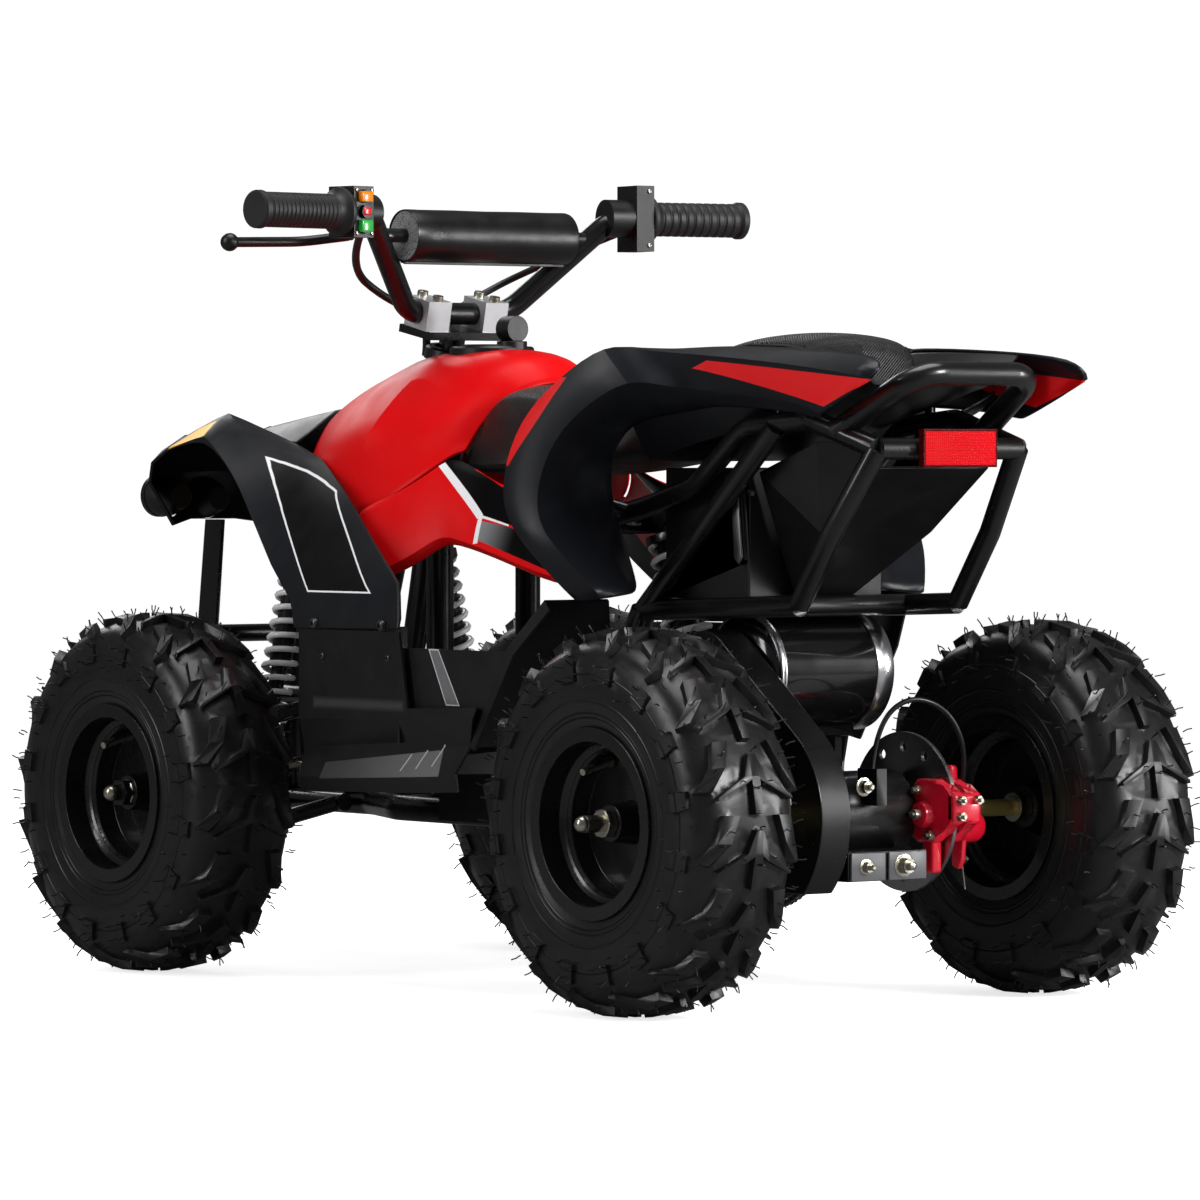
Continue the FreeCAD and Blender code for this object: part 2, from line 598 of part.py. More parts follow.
def suspension_arms(side):
    # The upper and lower wishbone of one front wheel, from the frame's front loops to the kingpin.
    solids = []
    inner = FRONT_FRAME_X + TUBE + 9
    shock_seat = SHOCK_FOOT_UP - SHOCK_EYE - SEAT_GAP
    for z_in, z_out, fore, aft in ((RAIL_Z, -46.0, -40.0, 52.0), (92.0, 60.0, -62.0, 60.0)):
        legs = []
        for y in (fore, aft):
            legs.append(rod(V(side * inner, FRONT + y, z_in), V(side * (KINGPIN_X - 12), FRONT, z_out), 8))
        legs.append(rod(V(side * inner, FRONT + fore - 8, z_in), V(side * inner, FRONT + aft + 8, z_in), 9))
        legs.append(rod(V(side * KINGPIN_X, FRONT, z_out - 8), V(side * KINGPIN_X, FRONT, z_out + 8), 16))
        if z_out < 0:
            x = side * SHOCK_FOOT_X
            legs.append(box(x - 9, x + 9, FRONT - 17, FRONT + 22, shock_seat - 12, shock_seat))
        arm = fuse(legs)
        arm = arm.cut(rod(V(side * KINGPIN_X, FRONT, z_out - 40), V(side * KINGPIN_X, FRONT, z_out + 40),
                          KINGPIN_RADIUS + BEARING_GAP))
        solids.append(arm)
    return Part.makeCompound(solids)


def knuckle(side):
    # The kingpin between the wishbones, the wheel's spindle and the steering arm behind it.
    x = side * KINGPIN_X
    post = rod(V(x, FRONT, -54), V(x, FRONT, 68), KINGPIN_RADIUS)
    body = rod(V(x, FRONT, -36), V(x, FRONT, 50), 15)
    hub_in = side * (FRONT_WHEEL_X + RIM_WIDTH / 2 - RIM_DISC_DEPTH - 24 - SEAT_GAP)
    hub_out = side * (FRONT_WHEEL_X + RIM_WIDTH / 2 - RIM_DISC_DEPTH + 26 + SEAT_GAP)
    shoulder = rod(V(x, FRONT, 0), V(hub_in, FRONT, 0), SPINDLE_RADIUS + 6)
    spindle = rod(V(x, FRONT, 0), V(side * (FRONT_WHEEL_X + RIM_WIDTH / 2 - 6), FRONT, 0), SPINDLE_RADIUS)
    nut = prism([V(hub_out, FRONT + 14 * math.cos(k * math.pi / 3), 14 * math.sin(k * math.pi / 3))
                 for k in range(6)], V(side * 10, 0, 0))
    end = x + side * STEERING_ARM_OUT
    level = TIE_ROD_Z + 12
    arm = prism([V(x - 7, FRONT, level), V(x + 7, FRONT, level), V(end + 6, FRONT + STEERING_ARM + 6, level),
                 V(end - 6, FRONT + STEERING_ARM + 6, level)], V(0, 0, 6))
    pin = rod(V(end, FRONT + STEERING_ARM, level + 6), V(end, FRONT + STEERING_ARM, level - 18),
              TRACK_ROD_PIN)
    return fuse([post, body, shoulder, spindle, nut, arm, pin])


def column_point(share):
    foot = V(0, FRONT + COLUMN_FOOT_BACK, COLUMN_FOOT_Z)
    top = V(0, FRONT + COLUMN_TOP_BACK, COLUMN_TOP_Z)
    return foot + (top - foot) * share


def steering_column():
    # The raked shaft with the handlebar's clamps on top and the pitman plate at its foot.
    foot = column_point(0)
    top = column_point(1)
    up = (top - foot).normalize()
    parts = [rod(foot, top, COLUMN_RADIUS)]
    back = V(0, up.z, -up.y)
    plate_low = foot - up * PLATE
    outline = [plate_low + X_AXIS * a + back * b for a, b in
               ((-14, -14), (14, -14), (PITMAN_PIN_X + 9, PITMAN_ARM + 8),
                (-PITMAN_PIN_X - 9, PITMAN_ARM + 8))]
    parts.append(prism(outline, up * PLATE))
    for side in (1, -1):
        pin = plate_low + X_AXIS * (side * PITMAN_PIN_X) + back * PITMAN_ARM
        parts.append(rod(pin + up * PLATE, pin - up * 16, TRACK_ROD_PIN))
    clamp_top = top + up * 8
    outline = [top + X_AXIS * a + back * b for a, b in ((-52, -22), (52, -22), (46, 22), (-46, 22))]
    parts.append(prism(outline, up * 8))
    for side in (1, -1):
        corner = clamp_top + X_AXIS * (side * 35 - 14) - back * 19
        parts.append(prism([corner, corner + X_AXIS * 28, corner + X_AXIS * 28 + back * 38,
                            corner + back * 38], up * 30))
    return fuse(parts).cut(bent_bar(BAR_RADIUS + BEARING_GAP))


def bar_centre():
    top = column_point(1)
    up = (top - column_point(0)).normalize()
    return top + up * (8 + 15)


def bar_corners():
    # The left half of the bar: its low corner at the clamps, its knee below the grip and its end.
    middle = bar_centre()
    knee_x = BAR_HALF_WIDTH - GRIP_LENGTH - CONTROLS_LENGTH
    return [V(60, middle.y, middle.z), V(knee_x, middle.y + BAR_KNEE_BACK, middle.z + BAR_RISE),
            V(BAR_HALF_WIDTH - 4, middle.y + BAR_END_BACK, middle.z + BAR_RISE)]


def bent_bar(radius):
    left = bar_corners()
    right = [V(-p.x, p.y, p.z) for p in reversed(left)]
    return tube(right + left, radius, 40)


def cross_bar_end():
    low, knee, end = bar_corners()
    return low + (knee - low) * CROSS_BAR_SHARE


def handlebar():
    # One bent bar, low in its clamps, rising to the grips, with a cross bar between its two rises.
    cross = cross_bar_end()
    return fuse([bent_bar(BAR_RADIUS), rod(V(-cross.x, cross.y, cross.z), cross, 7)])


def bar_pad():
    line = cross_bar_end()
    start = V(-PAD_HALF_LENGTH, line.y, line.z)
    end = V(PAD_HALF_LENGTH, line.y, line.z)
    return ring(start, end, PAD_RADIUS, 7 + SEAT_GAP).cut(bent_bar(BAR_RADIUS + SEAT_GAP))


def grip_line(side, inward):
    # A point on the straight end of the bar, measured inward from the bar's end.
    low, knee, end = bar_corners()
    point = end + (knee - end).normalize() * inward
    return V(side * point.x, point.y, point.z)


def grip(side):
    outer = grip_line(side, -4)
    inner = grip_line(side, GRIP_LENGTH)
    body = rod(outer, inner, GRIP_RADIUS)
    flange = rod(grip_line(side, GRIP_LENGTH - 6), inner, GRIP_RADIUS + 7)
    tip = rod(outer, grip_line(side, 5), GRIP_RADIUS + 2)
    body = fuse([body, flange, tip])
    return body.cut(bent_bar(BAR_RADIUS + BEARING_GAP))


def control_block(side, start, length, half_height, half_depth):
    axis = (grip_line(side, 1) - grip_line(side, 0))
    back = Z_AXIS.cross(axis).normalize()
    low = grip_line(side, start)
    outline = [low + back * b + Z_AXIS * c for b, c in
               ((-half_depth, -half_height), (half_depth, -half_height), (half_depth, half_height),
                (-half_depth, half_height))]
    block = prism(outline, axis * length)
    return block.cut(bent_bar(BAR_RADIUS + BEARING_GAP))


def switch_box():
    # The switch housing inboard of the left grip, with three push buttons facing the rider.
    start = GRIP_LENGTH + SEAT_GAP
    block = control_block(1, start, 26, 25, 18)
    axis = grip_line(1, 1) - grip_line(1, 0)
    back = Z_AXIS.cross(axis).normalize()
    if back.y < 0:
        back = back * -1
    buttons = []
    for k in (-1, 0, 1):
        centre = grip_line(1, start + 13) + Z_AXIS * (k * 15) + back * 18
        buttons.append(rod(centre, centre + back * 5, 6.5))
    return fuse([block] + buttons)


def throttle_housing():
    # The tall twist-grip housing with its display, and the round collar inboard of it.
    start = GRIP_LENGTH + SEAT_GAP
    block = control_block(-1, start, 20, 33, 20)
    collar = rod(grip_line(-1, start + 19), grip_line(-1, start + 46), 19)
    collar = collar.cut(bent_bar(BAR_RADIUS + BEARING_GAP))
    return fuse([block, collar])


def brake_lever():
    # A small perch clamped inboard of the switch box, and the lever in front of the grip.
    start = GRIP_LENGTH + 26 + 2 * SEAT_GAP
    perch = rod(grip_line(1, start), grip_line(1, start + 14), 18)
    root = grip_line(1, start + 7) + V(0, -30, -22)
    neck = rod(grip_line(1, start + 7) + V(0, -14, -9), root, 6)
    lever = tube([root, root + V(40, -22, -6), V(BAR_HALF_WIDTH - 20, root.y - 16, root.z - 8)], 5, 60)
    ball = Part.makeSphere(9, V(BAR_HALF_WIDTH - 16, root.y - 16, root.z - 8))
    return fuse([perch, neck, lever, ball]).cut(bent_bar(BAR_RADIUS + BEARING_GAP))


def bar_cables():
    # The brake cable and the leads, in two bundles from the bar's ends into the steering head.
    foot = column_point(0)
    up = (column_point(1) - foot).normalize()
    ahead = V(0, -up.z, up.y)
    middle = bar_centre()
    solids = []
    for side, radius, start in ((1, 4.0, GRIP_LENGTH + 33), (-1, 3.5, GRIP_LENGTH + 30)):
        gland = column_point(0.935) + ahead * 30 + X_AXIS * (side * 9)
        cable = tube([grip_line(side, start) + V(0, -6, -16), V(side * 112, middle.y - 30, middle.z + 46),
                      V(side * 52, middle.y - 48, middle.z + 14), gland + up * 40, gland], radius, 32)
        housing = brake_lever() if side > 0 else throttle_housing()
        cable = cable.cut(housing).cut(bent_bar(BAR_RADIUS + SEAT_GAP))
        solids.append(max(cable.Solids, key=lambda solid: solid.Volume))
    return Part.makeCompound(solids)


def tie_rod():
    # The track rod from the knuckle's steering arm towards the pitman plate.
    outer = V(KINGPIN_X + STEERING_ARM_OUT, FRONT + STEERING_ARM, TIE_ROD_Z)
    foot = column_point(0)
    up = (column_point(1) - foot).normalize()
    back = V(0, up.z, -up.y)
    pin = foot - up * (PLATE + 9) + X_AXIS * PITMAN_PIN_X + back * PITMAN_ARM
    bar = rod(outer, pin, TIE_ROD_RADIUS)
    eye = rod(outer - Z_AXIS * 6, outer + Z_AXIS * 6, 10)
    inner_eye = rod(pin - up * 4, pin + up * 4, 12)
    body = fuse([bar, eye, inner_eye])
    body = body.cut(rod(outer - Z_AXIS * 20, outer + Z_AXIS * 20, TRACK_ROD_PIN + BEARING_GAP))
    return body.cut(rod(pin - up * 20, pin + up * 20, 2 * TRACK_ROD_PIN))


# Springs and dampers

def coil(start, end, radius, wire, turns):
    # A spring of six-sided wire between two cups.
    height = (end - start).Length
    pitch = height / turns
    helix = Part.makeHelix(pitch, height, radius)
    up = V(0, 2 * math.pi * radius, pitch).normalize().cross(X_AXIS)
    corners = []
    for k in range(6):
        angle = math.pi * k / 3
        corners.append(V(radius + wire * math.cos(angle), 0, 0) + up * (wire * math.sin(angle)))
    section = Part.makePolygon(corners + corners[:1])
    spring = Part.Wire(helix.Edges).makePipeShell([section], True, True)
    spring.Placement = FreeCAD.Placement(start, FreeCAD.Rotation(Z_AXIS, end - start))
    return spring


def damper(top, foot, spring_radius, eye_length):
    # A coil spring round a damper, between an eye at each end.
    line = foot - top
    axis = line.normalize() * 1.0
    length = (foot - top).Length
    turns = int((length - 60) / SPRING_PITCH)
    parts = [rod(top, foot, 8), rod(top + axis * 22, top + axis * 30, spring_radius + 1),
             rod(foot - axis * 30, foot - axis * 22, spring_radius + 1),
             rod(top + axis * 22, top + axis * (length * 0.5), spring_radius - 2 * SPRING_WIRE - 1)]
    parts.append(coil(top + axis * 30, foot - axis * 30, spring_radius - SPRING_WIRE, SPRING_WIRE, turns))
    for end in (top, foot):
        parts.append(rod(end - X_AXIS * eye_length / 2, end + X_AXIS * eye_length / 2, SHOCK_EYE))
    return fuse(parts)


def front_shocks():
    solids = []
    for side in (1, -1):
        top = V(side * SHOCK_TOP_X, FRONT - 4, SHOCK_TOP_Z)
        foot = V(side * SHOCK_FOOT_X, FRONT, SHOCK_FOOT_UP)
        solids.append(damper(top, foot, SPRING_RADIUS, 18))
    return Part.makeCompound(solids)


def rear_shock():
    return damper(V(0, -262, 278), V(0, SHOCK_FOOT_Y, SHOCK_FOOT_Z), 25.0, 22)


# Body

def tank_cover():
    rows = [[V(0, FRONT + 10, 385), V(50, FRONT + 10, 380), V(84, FRONT + 18, 330), V(104, FRONT + 30, 270)],
            [V(0, FRONT + 90, 412), V(58, FRONT + 90, 406),
             V(116, FRONT + 96, 345), V(138, FRONT + 110, 275)],
            [V(0, FRONT + 170, 432), V(60, FRONT + 170, 427),
             V(134, FRONT + 180, 350), V(156, FRONT + 205, 270)],
            [V(0, FRONT + 260, 438), V(56, FRONT + 260, 432),
             V(122, FRONT + 265, 350), V(130, FRONT + 285, 275)],
            [V(0, FRONT + 309, 406), V(50, FRONT + 290, 392),
             V(84, FRONT + 275, 345), V(88, FRONT + 300, 275)]]
    hole = rod(column_point(0.8), column_point(1.2), 42)
    return sheet(across(rows), PANEL).cut(hole)


def side_panel():
    rows = [[V(172, FRONT + 235, 268), V(182, FRONT + 262, 222), V(176, FRONT + 280, 216)],
            [V(134, FRONT + 290, 272), V(150, FRONT + 300, 240), V(140, FRONT + 318, 232)],
            [V(92, FRONT + 330, 300), V(136, FRONT + 380, 244), V(128, FRONT + 400, 226)],
            [V(111, FRONT + 470, 290), V(132, FRONT + 480, 232), V(124, FRONT + 500, 216)],
            [V(112, FRONT + 520, 284), V(122, FRONT + 520, 214), V(116, FRONT + 524, 206)]]
    return sheet(rows, PANEL)


def seat_half_width(y):
    # Half the saddle's width at a place along it.
    for (y0, half0, _), (y1, half1, _) in zip(SEAT_STATIONS, SEAT_STATIONS[1:]):
        if y <= y1:
            return half0 + (half1 - half0) * (y - y0) / (y1 - y0)
    return SEAT_STATIONS[-1][1]


def seat():
    # The saddle, narrow at the tank and wide at the tail.
    sections = []
    for y, half, top in SEAT_STATIONS:
        low = deck_height(max(y, -170)) + SEAT_GAP if y > -200 else 322 + (y + 480) * 0.03
        points = [V(-half, y, low), V(half, y, low), V(half, y, top - 16), V(half * 0.7, y, top),
                  V(-half * 0.7, y, top), V(-half, y, top - 16)]
        sections.append(Part.makePolygon(points + points[:1]))
    return Part.makeLoft(sections, True, True)


def front_fender(side):
    # The plastic over and behind a front wheel: a ridge beside the hood, then the mudguard down to the
    # footwell, with its front edge bent in.
    rows = [[V(96.5, FRONT - 94, 350), V(164, FRONT - 94, 354), V(186, FRONT - 95, 340)],
            [V(96.5, FRONT + 4, 346), V(160, FRONT - 24, 378), V(200, FRONT - 8, 353)],
            [V(128, FRONT + 95, 330), V(180, FRONT + 60, 336), V(206, FRONT + 50, 318)],
            [V(168, FRONT + 190, 300), V(206, FRONT + 110, 272), V(214, FRONT + 92, 276)],
            [V(192, FRONT + 260, 260), V(222, FRONT + 165, 232), V(226, FRONT + 145, 226)],
            [V(228, FRONT + 362, 212), V(236, FRONT + 206, 196), V(234, FRONT + 190, 192)],
            [V(240, FRONT + 380, 168), V(241, FRONT + 216, 166), V(240, FRONT + 204, 166)]]
    left = sheet(rows, PANEL)
    return left if side > 0 else mirror(left)


def hood():
    # The cover between the front fenders, from the tank to the mask.
    rows = [[V(0, FRONT - 94, 361), V(60, FRONT - 94, 363), V(96, FRONT - 94, 350)],
            [V(0, FRONT + 9.5, 385), V(50, FRONT + 9.5, 380), V(96, FRONT + 4, 346)]]
    return sheet(across(rows), PANEL)


def nose_mask():
    rows = [[V(0, FRONT - 172, 262), V(50, FRONT - 172, 268), V(105, FRONT - 172, 268),
             V(140, FRONT - 150, 262), V(178, FRONT - 98, 262)],
            [V(0, FRONT - 180, 312), V(56, FRONT - 186, 318), V(110, FRONT - 186, 316),
             V(158, FRONT - 170, 308), V(192, FRONT - 120, 305)],
            [V(0, FRONT - 150, 345), V(60, FRONT - 150, 350), V(105, FRONT - 160, 346),
             V(155, FRONT - 150, 338), V(190, FRONT - 118, 326)],
            [V(0, FRONT - 94.5, 361), V(60, FRONT - 94.5, 363), V(96, FRONT - 94.5, 350),
             V(164, FRONT - 94.5, 354), V(186, FRONT - 95.5, 340)]]
    mask = sheet(across(rows), PANEL)
    for x, z in LAMPS:
        for side in (1, -1):
            mask = mask.cut(rod(V(side * x, FRONT - 260, z), V(side * x, FRONT - 60, z),
                                LAMP_RADIUS + SEAT_GAP))
    return mask


def headlamps():
    # Four round lamps that reach through the mask, each with a domed lens and a cup behind it.
    solids = []
    for x, z in LAMPS:
        face = FRONT - 186 + max(0.0, x - 110) * 0.34
        for side in (1, -1):
            lamp = rod(V(side * x, face + 14, z), V(side * x, face - 2, z), LAMP_RADIUS)
            cup = Part.makeCone(LAMP_RADIUS, LAMP_RADIUS * 0.6, 26, V(side * x, face + 14, z), Y_AXIS)
            solids.append(fuse([lamp, cup]))
    return Part.makeCompound(solids)


def rear_fender(side):
    # The wing before a rear wheel and the edge of the tail behind it: its face, the rim turned back
    # over the tyre and the hollow inside the rim.
    rows = [[V(120, -180, 200), V(200, -104, 200), V(178, -92, 204), V(150, -118, 206), V(124, -148, 208)],
            [V(118, -200, 236), V(226, -160, 240), V(206, -126, 236), V(156, -150, 240), V(122, -166, 244)],
            [V(118, -226, 282), V(240, -206, 276), V(224, -160, 270), V(156, -194, 286), V(120, -196, 292)],
            [V(120, -228, 330), V(240, -206, 322), V(222, -162, 312), V(154, -192, 334), V(122, -186, 342)],
            [V(140, -170, 400), V(216, -146, 404), V(206, -110, 376), V(152, -144, 371), V(122, -150, 367)],
            [V(150, -108, 436), V(202, -92, 438), V(196, -66, 402), V(150, -100, 379), V(122, -96, 372)],
            [V(128, -66, 430), V(176, -76, 430), V(168, -48, 396), V(144, -58, 382), V(120, -56, 376)],
            [V(108, -30, 436), V(146, -40, 428), V(124, -40, 392), V(121, -39, 386), V(118, -38, 380)],
            [V(108, 90, 432), V(138, 90, 418), V(124, 80, 384), V(121, 79, 379), V(118, 78, 374)],
            [V(112, 205, 424), V(132, 200, 404), V(128, 120, 372), V(125, 117, 369), V(122, 114, 366)]]
    left = sheet(rows, PANEL)
    return left if side > 0 else mirror(left)


def deck_height(y):
    # The height of the tail deck, which rises to the rear; the saddle lies on it.
    front_y = -170.0
    front_height = 330.0
    slope = 0.235
    return front_height + slope * (y - front_y)


def rear_deck():
    # The cover between the rear fenders, dished for the saddle.
    edge = ((135, -168, 399), (145, -108, 433), (124, -66, 427), (104, -30, 432), (104, 90, 429),
            (104, 130, 427))
    rows = [[V(0, y, deck_height(y)), V(seat_half_width(y) + 3, y, deck_height(y)), V(x, y, z)]
            for x, y, z in edge]
    return sheet(across(rows), PANEL)


def footwell(side):
    # The leg shield, the footboard with its kinked skirt, the recessed panel at the board's rear and the
    # heel guard with its edge turned back.
    x0 = RAIL_X + TUBE + SEAT_GAP
    x1 = FOOT_OUTER_X
    kink = x1 - 7
    recess = x1 - 12
    recess_top = 150.0
    step = FOOT_FRONT + 165
    floor_top = FOOT_FLOOR + PANEL
    rows = [[V(x1, y, top), V(x1, y, band), V(kink, y, band - 27), V(x1, y, band - 56),
             V(x1 - 2, y, band - 70)]
            for y, top, band in ((FOOT_FRONT, FOOT_TOP, 78), (step, FOOT_TOP, 82), (step + 14, 93, 82.5))]
    rows.append([V(x1, FOOT_REAR + 22, 97), V(x1, FOOT_REAR + 15, 85), V(kink, FOOT_REAR + 2, 60),
                 V(x1, FOOT_REAR - 13, 33), V(x1 - 2, FOOT_REAR - 12, 16)])
    profile = [V(p.x - PANEL / 2, p.y, p.z) for p in reversed(rows[0])]
    profile += [V(x0, FOOT_FRONT, FOOT_TOP), V(x0, FOOT_FRONT, profile[0].z)]
    shield = prism(profile, V(0, PANEL, 0))
    floors = [box(x0, kink, FOOT_FRONT, step, FOOT_FLOOR, floor_top),
              box(x0, recess + PANEL / 2, step - 1, FOOT_REAR + 4, FOOT_FLOOR, floor_top)]
    outline = ((step - PANEL, FOOT_FLOOR), (FOOT_REAR + 1, FOOT_FLOOR), (FOOT_REAR + 57, recess_top),
               (step - PANEL, recess_top))
    inner_panel = prism([V(recess, y, z) for y, z in outline], V(PANEL, 0, 0))
    step_wall = box(recess, x1 - 1, step - PANEL, step, FOOT_FLOOR, recess_top)
    ledge = sheet([[V(recess + 1, step - 2, 90), V(x1 - 1, step - 2, 92)],
                   [V(recess + 1, FOOT_REAR + 16, 95), V(x1 - 1, FOOT_REAR + 16, 96)]], PANEL)
    heel = sheet([[V(x0, FOOT_REAR, FOOT_FLOOR), V(kink, FOOT_REAR, FOOT_FLOOR),
                   V(x1 - 2, FOOT_REAR + 15, FOOT_FLOOR - 4)],
                  [V(x0, FOOT_REAR + 59, 154), V(x1 - 8, FOOT_REAR + 59, 154),
                   V(x1 - 4, FOOT_REAR + 74, 148)],
                  [V(x0 + 30, FOOT_REAR + 96, 199), V(x1 - 24, FOOT_REAR + 96, 199),
                   V(x1 - 20, FOOT_REAR + 108, 190)]], PANEL)
    hanger = box(x0, x0 + 4, FOOT_FRONT + 60, FOOT_REAR - 73, RAIL_Z - 8, FOOT_FLOOR + 1)
    left = fuse([sheet(rows, PANEL), shield, inner_panel, step_wall, ledge, heel, hanger] + floors)
    return left if side > 0 else mirror(left)


def battery_box():
    # The closed box under the seat that holds the batteries and the controller.
    body = box(-80, 80, -165, -38, 199.5, 322)
    latch = prism([V(80, -58, 306), V(80, -46, 306), V(80, -40, 236), V(80, -52, 236)], V(4, 0, 0))
    return fuse([body, latch])


def mud_panel():
    # The slanted tub behind the battery box that keeps the wheels' dirt off it.
    half_rows = [[V(0, 132, 322), V(66, 132, 322), V(70, 132, 350)],
                 [V(0, 50, 262), V(66, 50, 262), V(72, 50, 346)],
                 [V(0, -28, 201.3), V(34, -28, 201.3), V(76, -29, 318)]]
    return sheet(across(half_rows), PANEL)


def reflector():
    return box(-44, 44, 162 + SEAT_GAP, 170, 323, 358)


def brake_cable():
    # The cable from under the seat, in one loop behind the axle, down to the caliper's arm.
    return tube([V(0, 44, 44), V(-4, 46, 84), V(-32, 58, 112), V(-72, 70, 98), V(-99, 66, 50),
                 V(-98.5, 51, 6)], 2.5, 22)


def key_switch():
    # The lock on the tank's top with its half-round knob.
    base = rod(V(-4, FRONT + 232, 437.4), V(-4, FRONT + 232, 446), 15)
    stem = rod(V(-4, FRONT + 232, 446), V(-4, FRONT + 232, 458), 5)
    knob = rod(V(-4, FRONT + 222, 458), V(-4, FRONT + 242, 458), 13)
    return fuse([base, stem, knob])


def body_nodes():
    nodes = {"tank_cover": tank_cover(),
             "side_panels": Part.makeCompound([side_panel(), mirror(side_panel())]), "seat": seat(),
             "hood": hood(), "nose_mask": nose_mask(), "headlamps": headlamps(), "rear_deck": rear_deck(),
             "battery_box": battery_box(), "mud_panel": mud_panel(), "reflector": reflector(),
             "key_switch": key_switch()}
    for side, name in ((1, "left"), (-1, "right")):
        nodes["front_fender_" + name] = front_fender(side)
        nodes["rear_fender_" + name] = rear_fender(side)
        nodes["footwell_" + name] = footwell(side)
    return nodes


def frame_nodes():
    return {"frame_rails": frame_rails(), "steering_head": steering_head(),
            "rear_subframe": rear_subframe(), "grab_bar": grab_bar(), "front_bumper": front_bumper(),
            "suspension_arms_left": suspension_arms(1), "suspension_arms_right": suspension_arms(-1),
            "front_shocks": front_shocks(), "rear_shock": rear_shock(), "swing_arm": swing_arm(),
            "motor": motor(), "chain_cover": chain_cover(), "drive_chain": drive_chain(),
            "brake_caliper": brake_caliper(), "brake_cable": brake_cable()}


def steering_nodes():
    return {"handlebar": handlebar(), "bar_pad": bar_pad(), "grip_left": grip(1), "grip_right": grip(-1),
            "switch_box": switch_box(), "throttle_housing": throttle_housing(),
            "brake_lever": brake_lever(), "bar_cables": bar_cables(), "steering_column": steering_column(),
            "knuckle_left": knuckle(1), "knuckle_right": knuckle(-1),
            "tie_rod_left": tie_rod(), "tie_rod_right": mirror(tie_rod())}


def axle_nodes():
    return {"rear_axle": rear_axle(), "axle_sprocket": axle_sprocket(), "brake_disc": brake_disc()}


def main():
    nodes = {}
    for group in (frame_nodes, body_nodes, steering_nodes, wheel_nodes, axle_nodes):
        nodes.update(group())
    whole = FreeCAD.BoundBox()
    for shape in nodes.values():
        whole.add(shape.BoundBox)
    place = V(0, -(whole.YMin + whole.YMax) / 2, -GROUND)
    os.makedirs("parts", exist_ok=True)
    for name, shape in nodes.items():
        shape.translate(place)
        shape.exportStep("parts/" + name + ".step")
        print(name, "solids", len(shape.Solids), "volume", round(shape.Volume), "valid", shape.isValid())
    print("place", place, "size", whole.XLength, whole.YLength, whole.ZMax - GROUND)


main()
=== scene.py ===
# %% [markdown]
# # An electric quad bike for a child
# The real vehicle is a black tube frame on four knobbly balloon tyres, with a live rear axle that a chain
# drives, and a plastic body in gloss red and satin blue-black. Its rigid pieces come from the packed
# part, so this lesson gives each of them its finish and adds what the solids leave out: hairs on the
# tread, the saddle's weave and stitches, bolts and lenses. Every place is in the frame's own metres.

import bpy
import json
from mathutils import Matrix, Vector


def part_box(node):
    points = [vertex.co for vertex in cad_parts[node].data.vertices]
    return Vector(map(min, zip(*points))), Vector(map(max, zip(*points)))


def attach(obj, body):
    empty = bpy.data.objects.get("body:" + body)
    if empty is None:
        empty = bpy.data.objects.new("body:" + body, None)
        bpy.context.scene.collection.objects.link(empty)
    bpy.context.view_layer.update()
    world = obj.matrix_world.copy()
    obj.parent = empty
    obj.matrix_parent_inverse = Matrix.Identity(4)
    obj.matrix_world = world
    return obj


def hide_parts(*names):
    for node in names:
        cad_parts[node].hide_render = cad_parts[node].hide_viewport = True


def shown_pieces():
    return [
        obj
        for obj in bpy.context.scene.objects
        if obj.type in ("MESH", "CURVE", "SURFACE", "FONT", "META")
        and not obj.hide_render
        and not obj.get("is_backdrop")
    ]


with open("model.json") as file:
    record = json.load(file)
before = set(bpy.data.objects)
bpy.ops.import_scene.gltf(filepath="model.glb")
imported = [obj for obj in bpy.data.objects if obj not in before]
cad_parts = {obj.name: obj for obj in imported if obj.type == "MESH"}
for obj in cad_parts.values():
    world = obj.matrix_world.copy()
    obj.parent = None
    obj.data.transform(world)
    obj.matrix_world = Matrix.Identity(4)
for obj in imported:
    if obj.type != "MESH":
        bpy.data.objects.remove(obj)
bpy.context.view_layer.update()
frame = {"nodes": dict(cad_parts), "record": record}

# %% Modules, and places measured from the rear axle
import json
import math

import bmesh
import bpy
from mathutils import Vector

MM = 0.001
axle_low, axle_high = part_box("rear_axle")
AXLE = (axle_low + axle_high) / 2
TYRE_RADIUS = AXLE.z
FRONT = -750.0
record = frame["record"]
BODY_OF = {node: body for body, nodes in record["behaviour"]["bodies"].items() for node in nodes}
SLOT_OF = {row["node"]: row["material_slot"] for row in record["subparts"]}


def at(x, y, z):
    """A place in millimetres from the middle of the rear axle: to the rider's left, back and up."""
    return AXLE + Vector((x, y, z)) * MM


print("rear axle at", tuple(round(v, 4) for v in AXLE))

# %% [markdown]
# ## Camera, floor and light
# The photograph was taken from behind the rider's left, almost at wheel height, with a long lens, so the
# wheels show as tall ellipses and parallel lines stay nearly parallel. The camera stands at the place
# that a fit to the four wheels gave. The floor and the world are white to the camera but dim in
# reflections, as black curtains round a photographer's table are, so the black plastic stays deep and
# shows only the soft bands of the big lamps.

# %% Camera
VIEW_TURN = math.radians(37.5)
VIEW_RISE = math.radians(1.4)
VIEW_DISTANCE = 6.9
LENS_MM = 213.0
SHIFT_UP = 21.5 / 1200

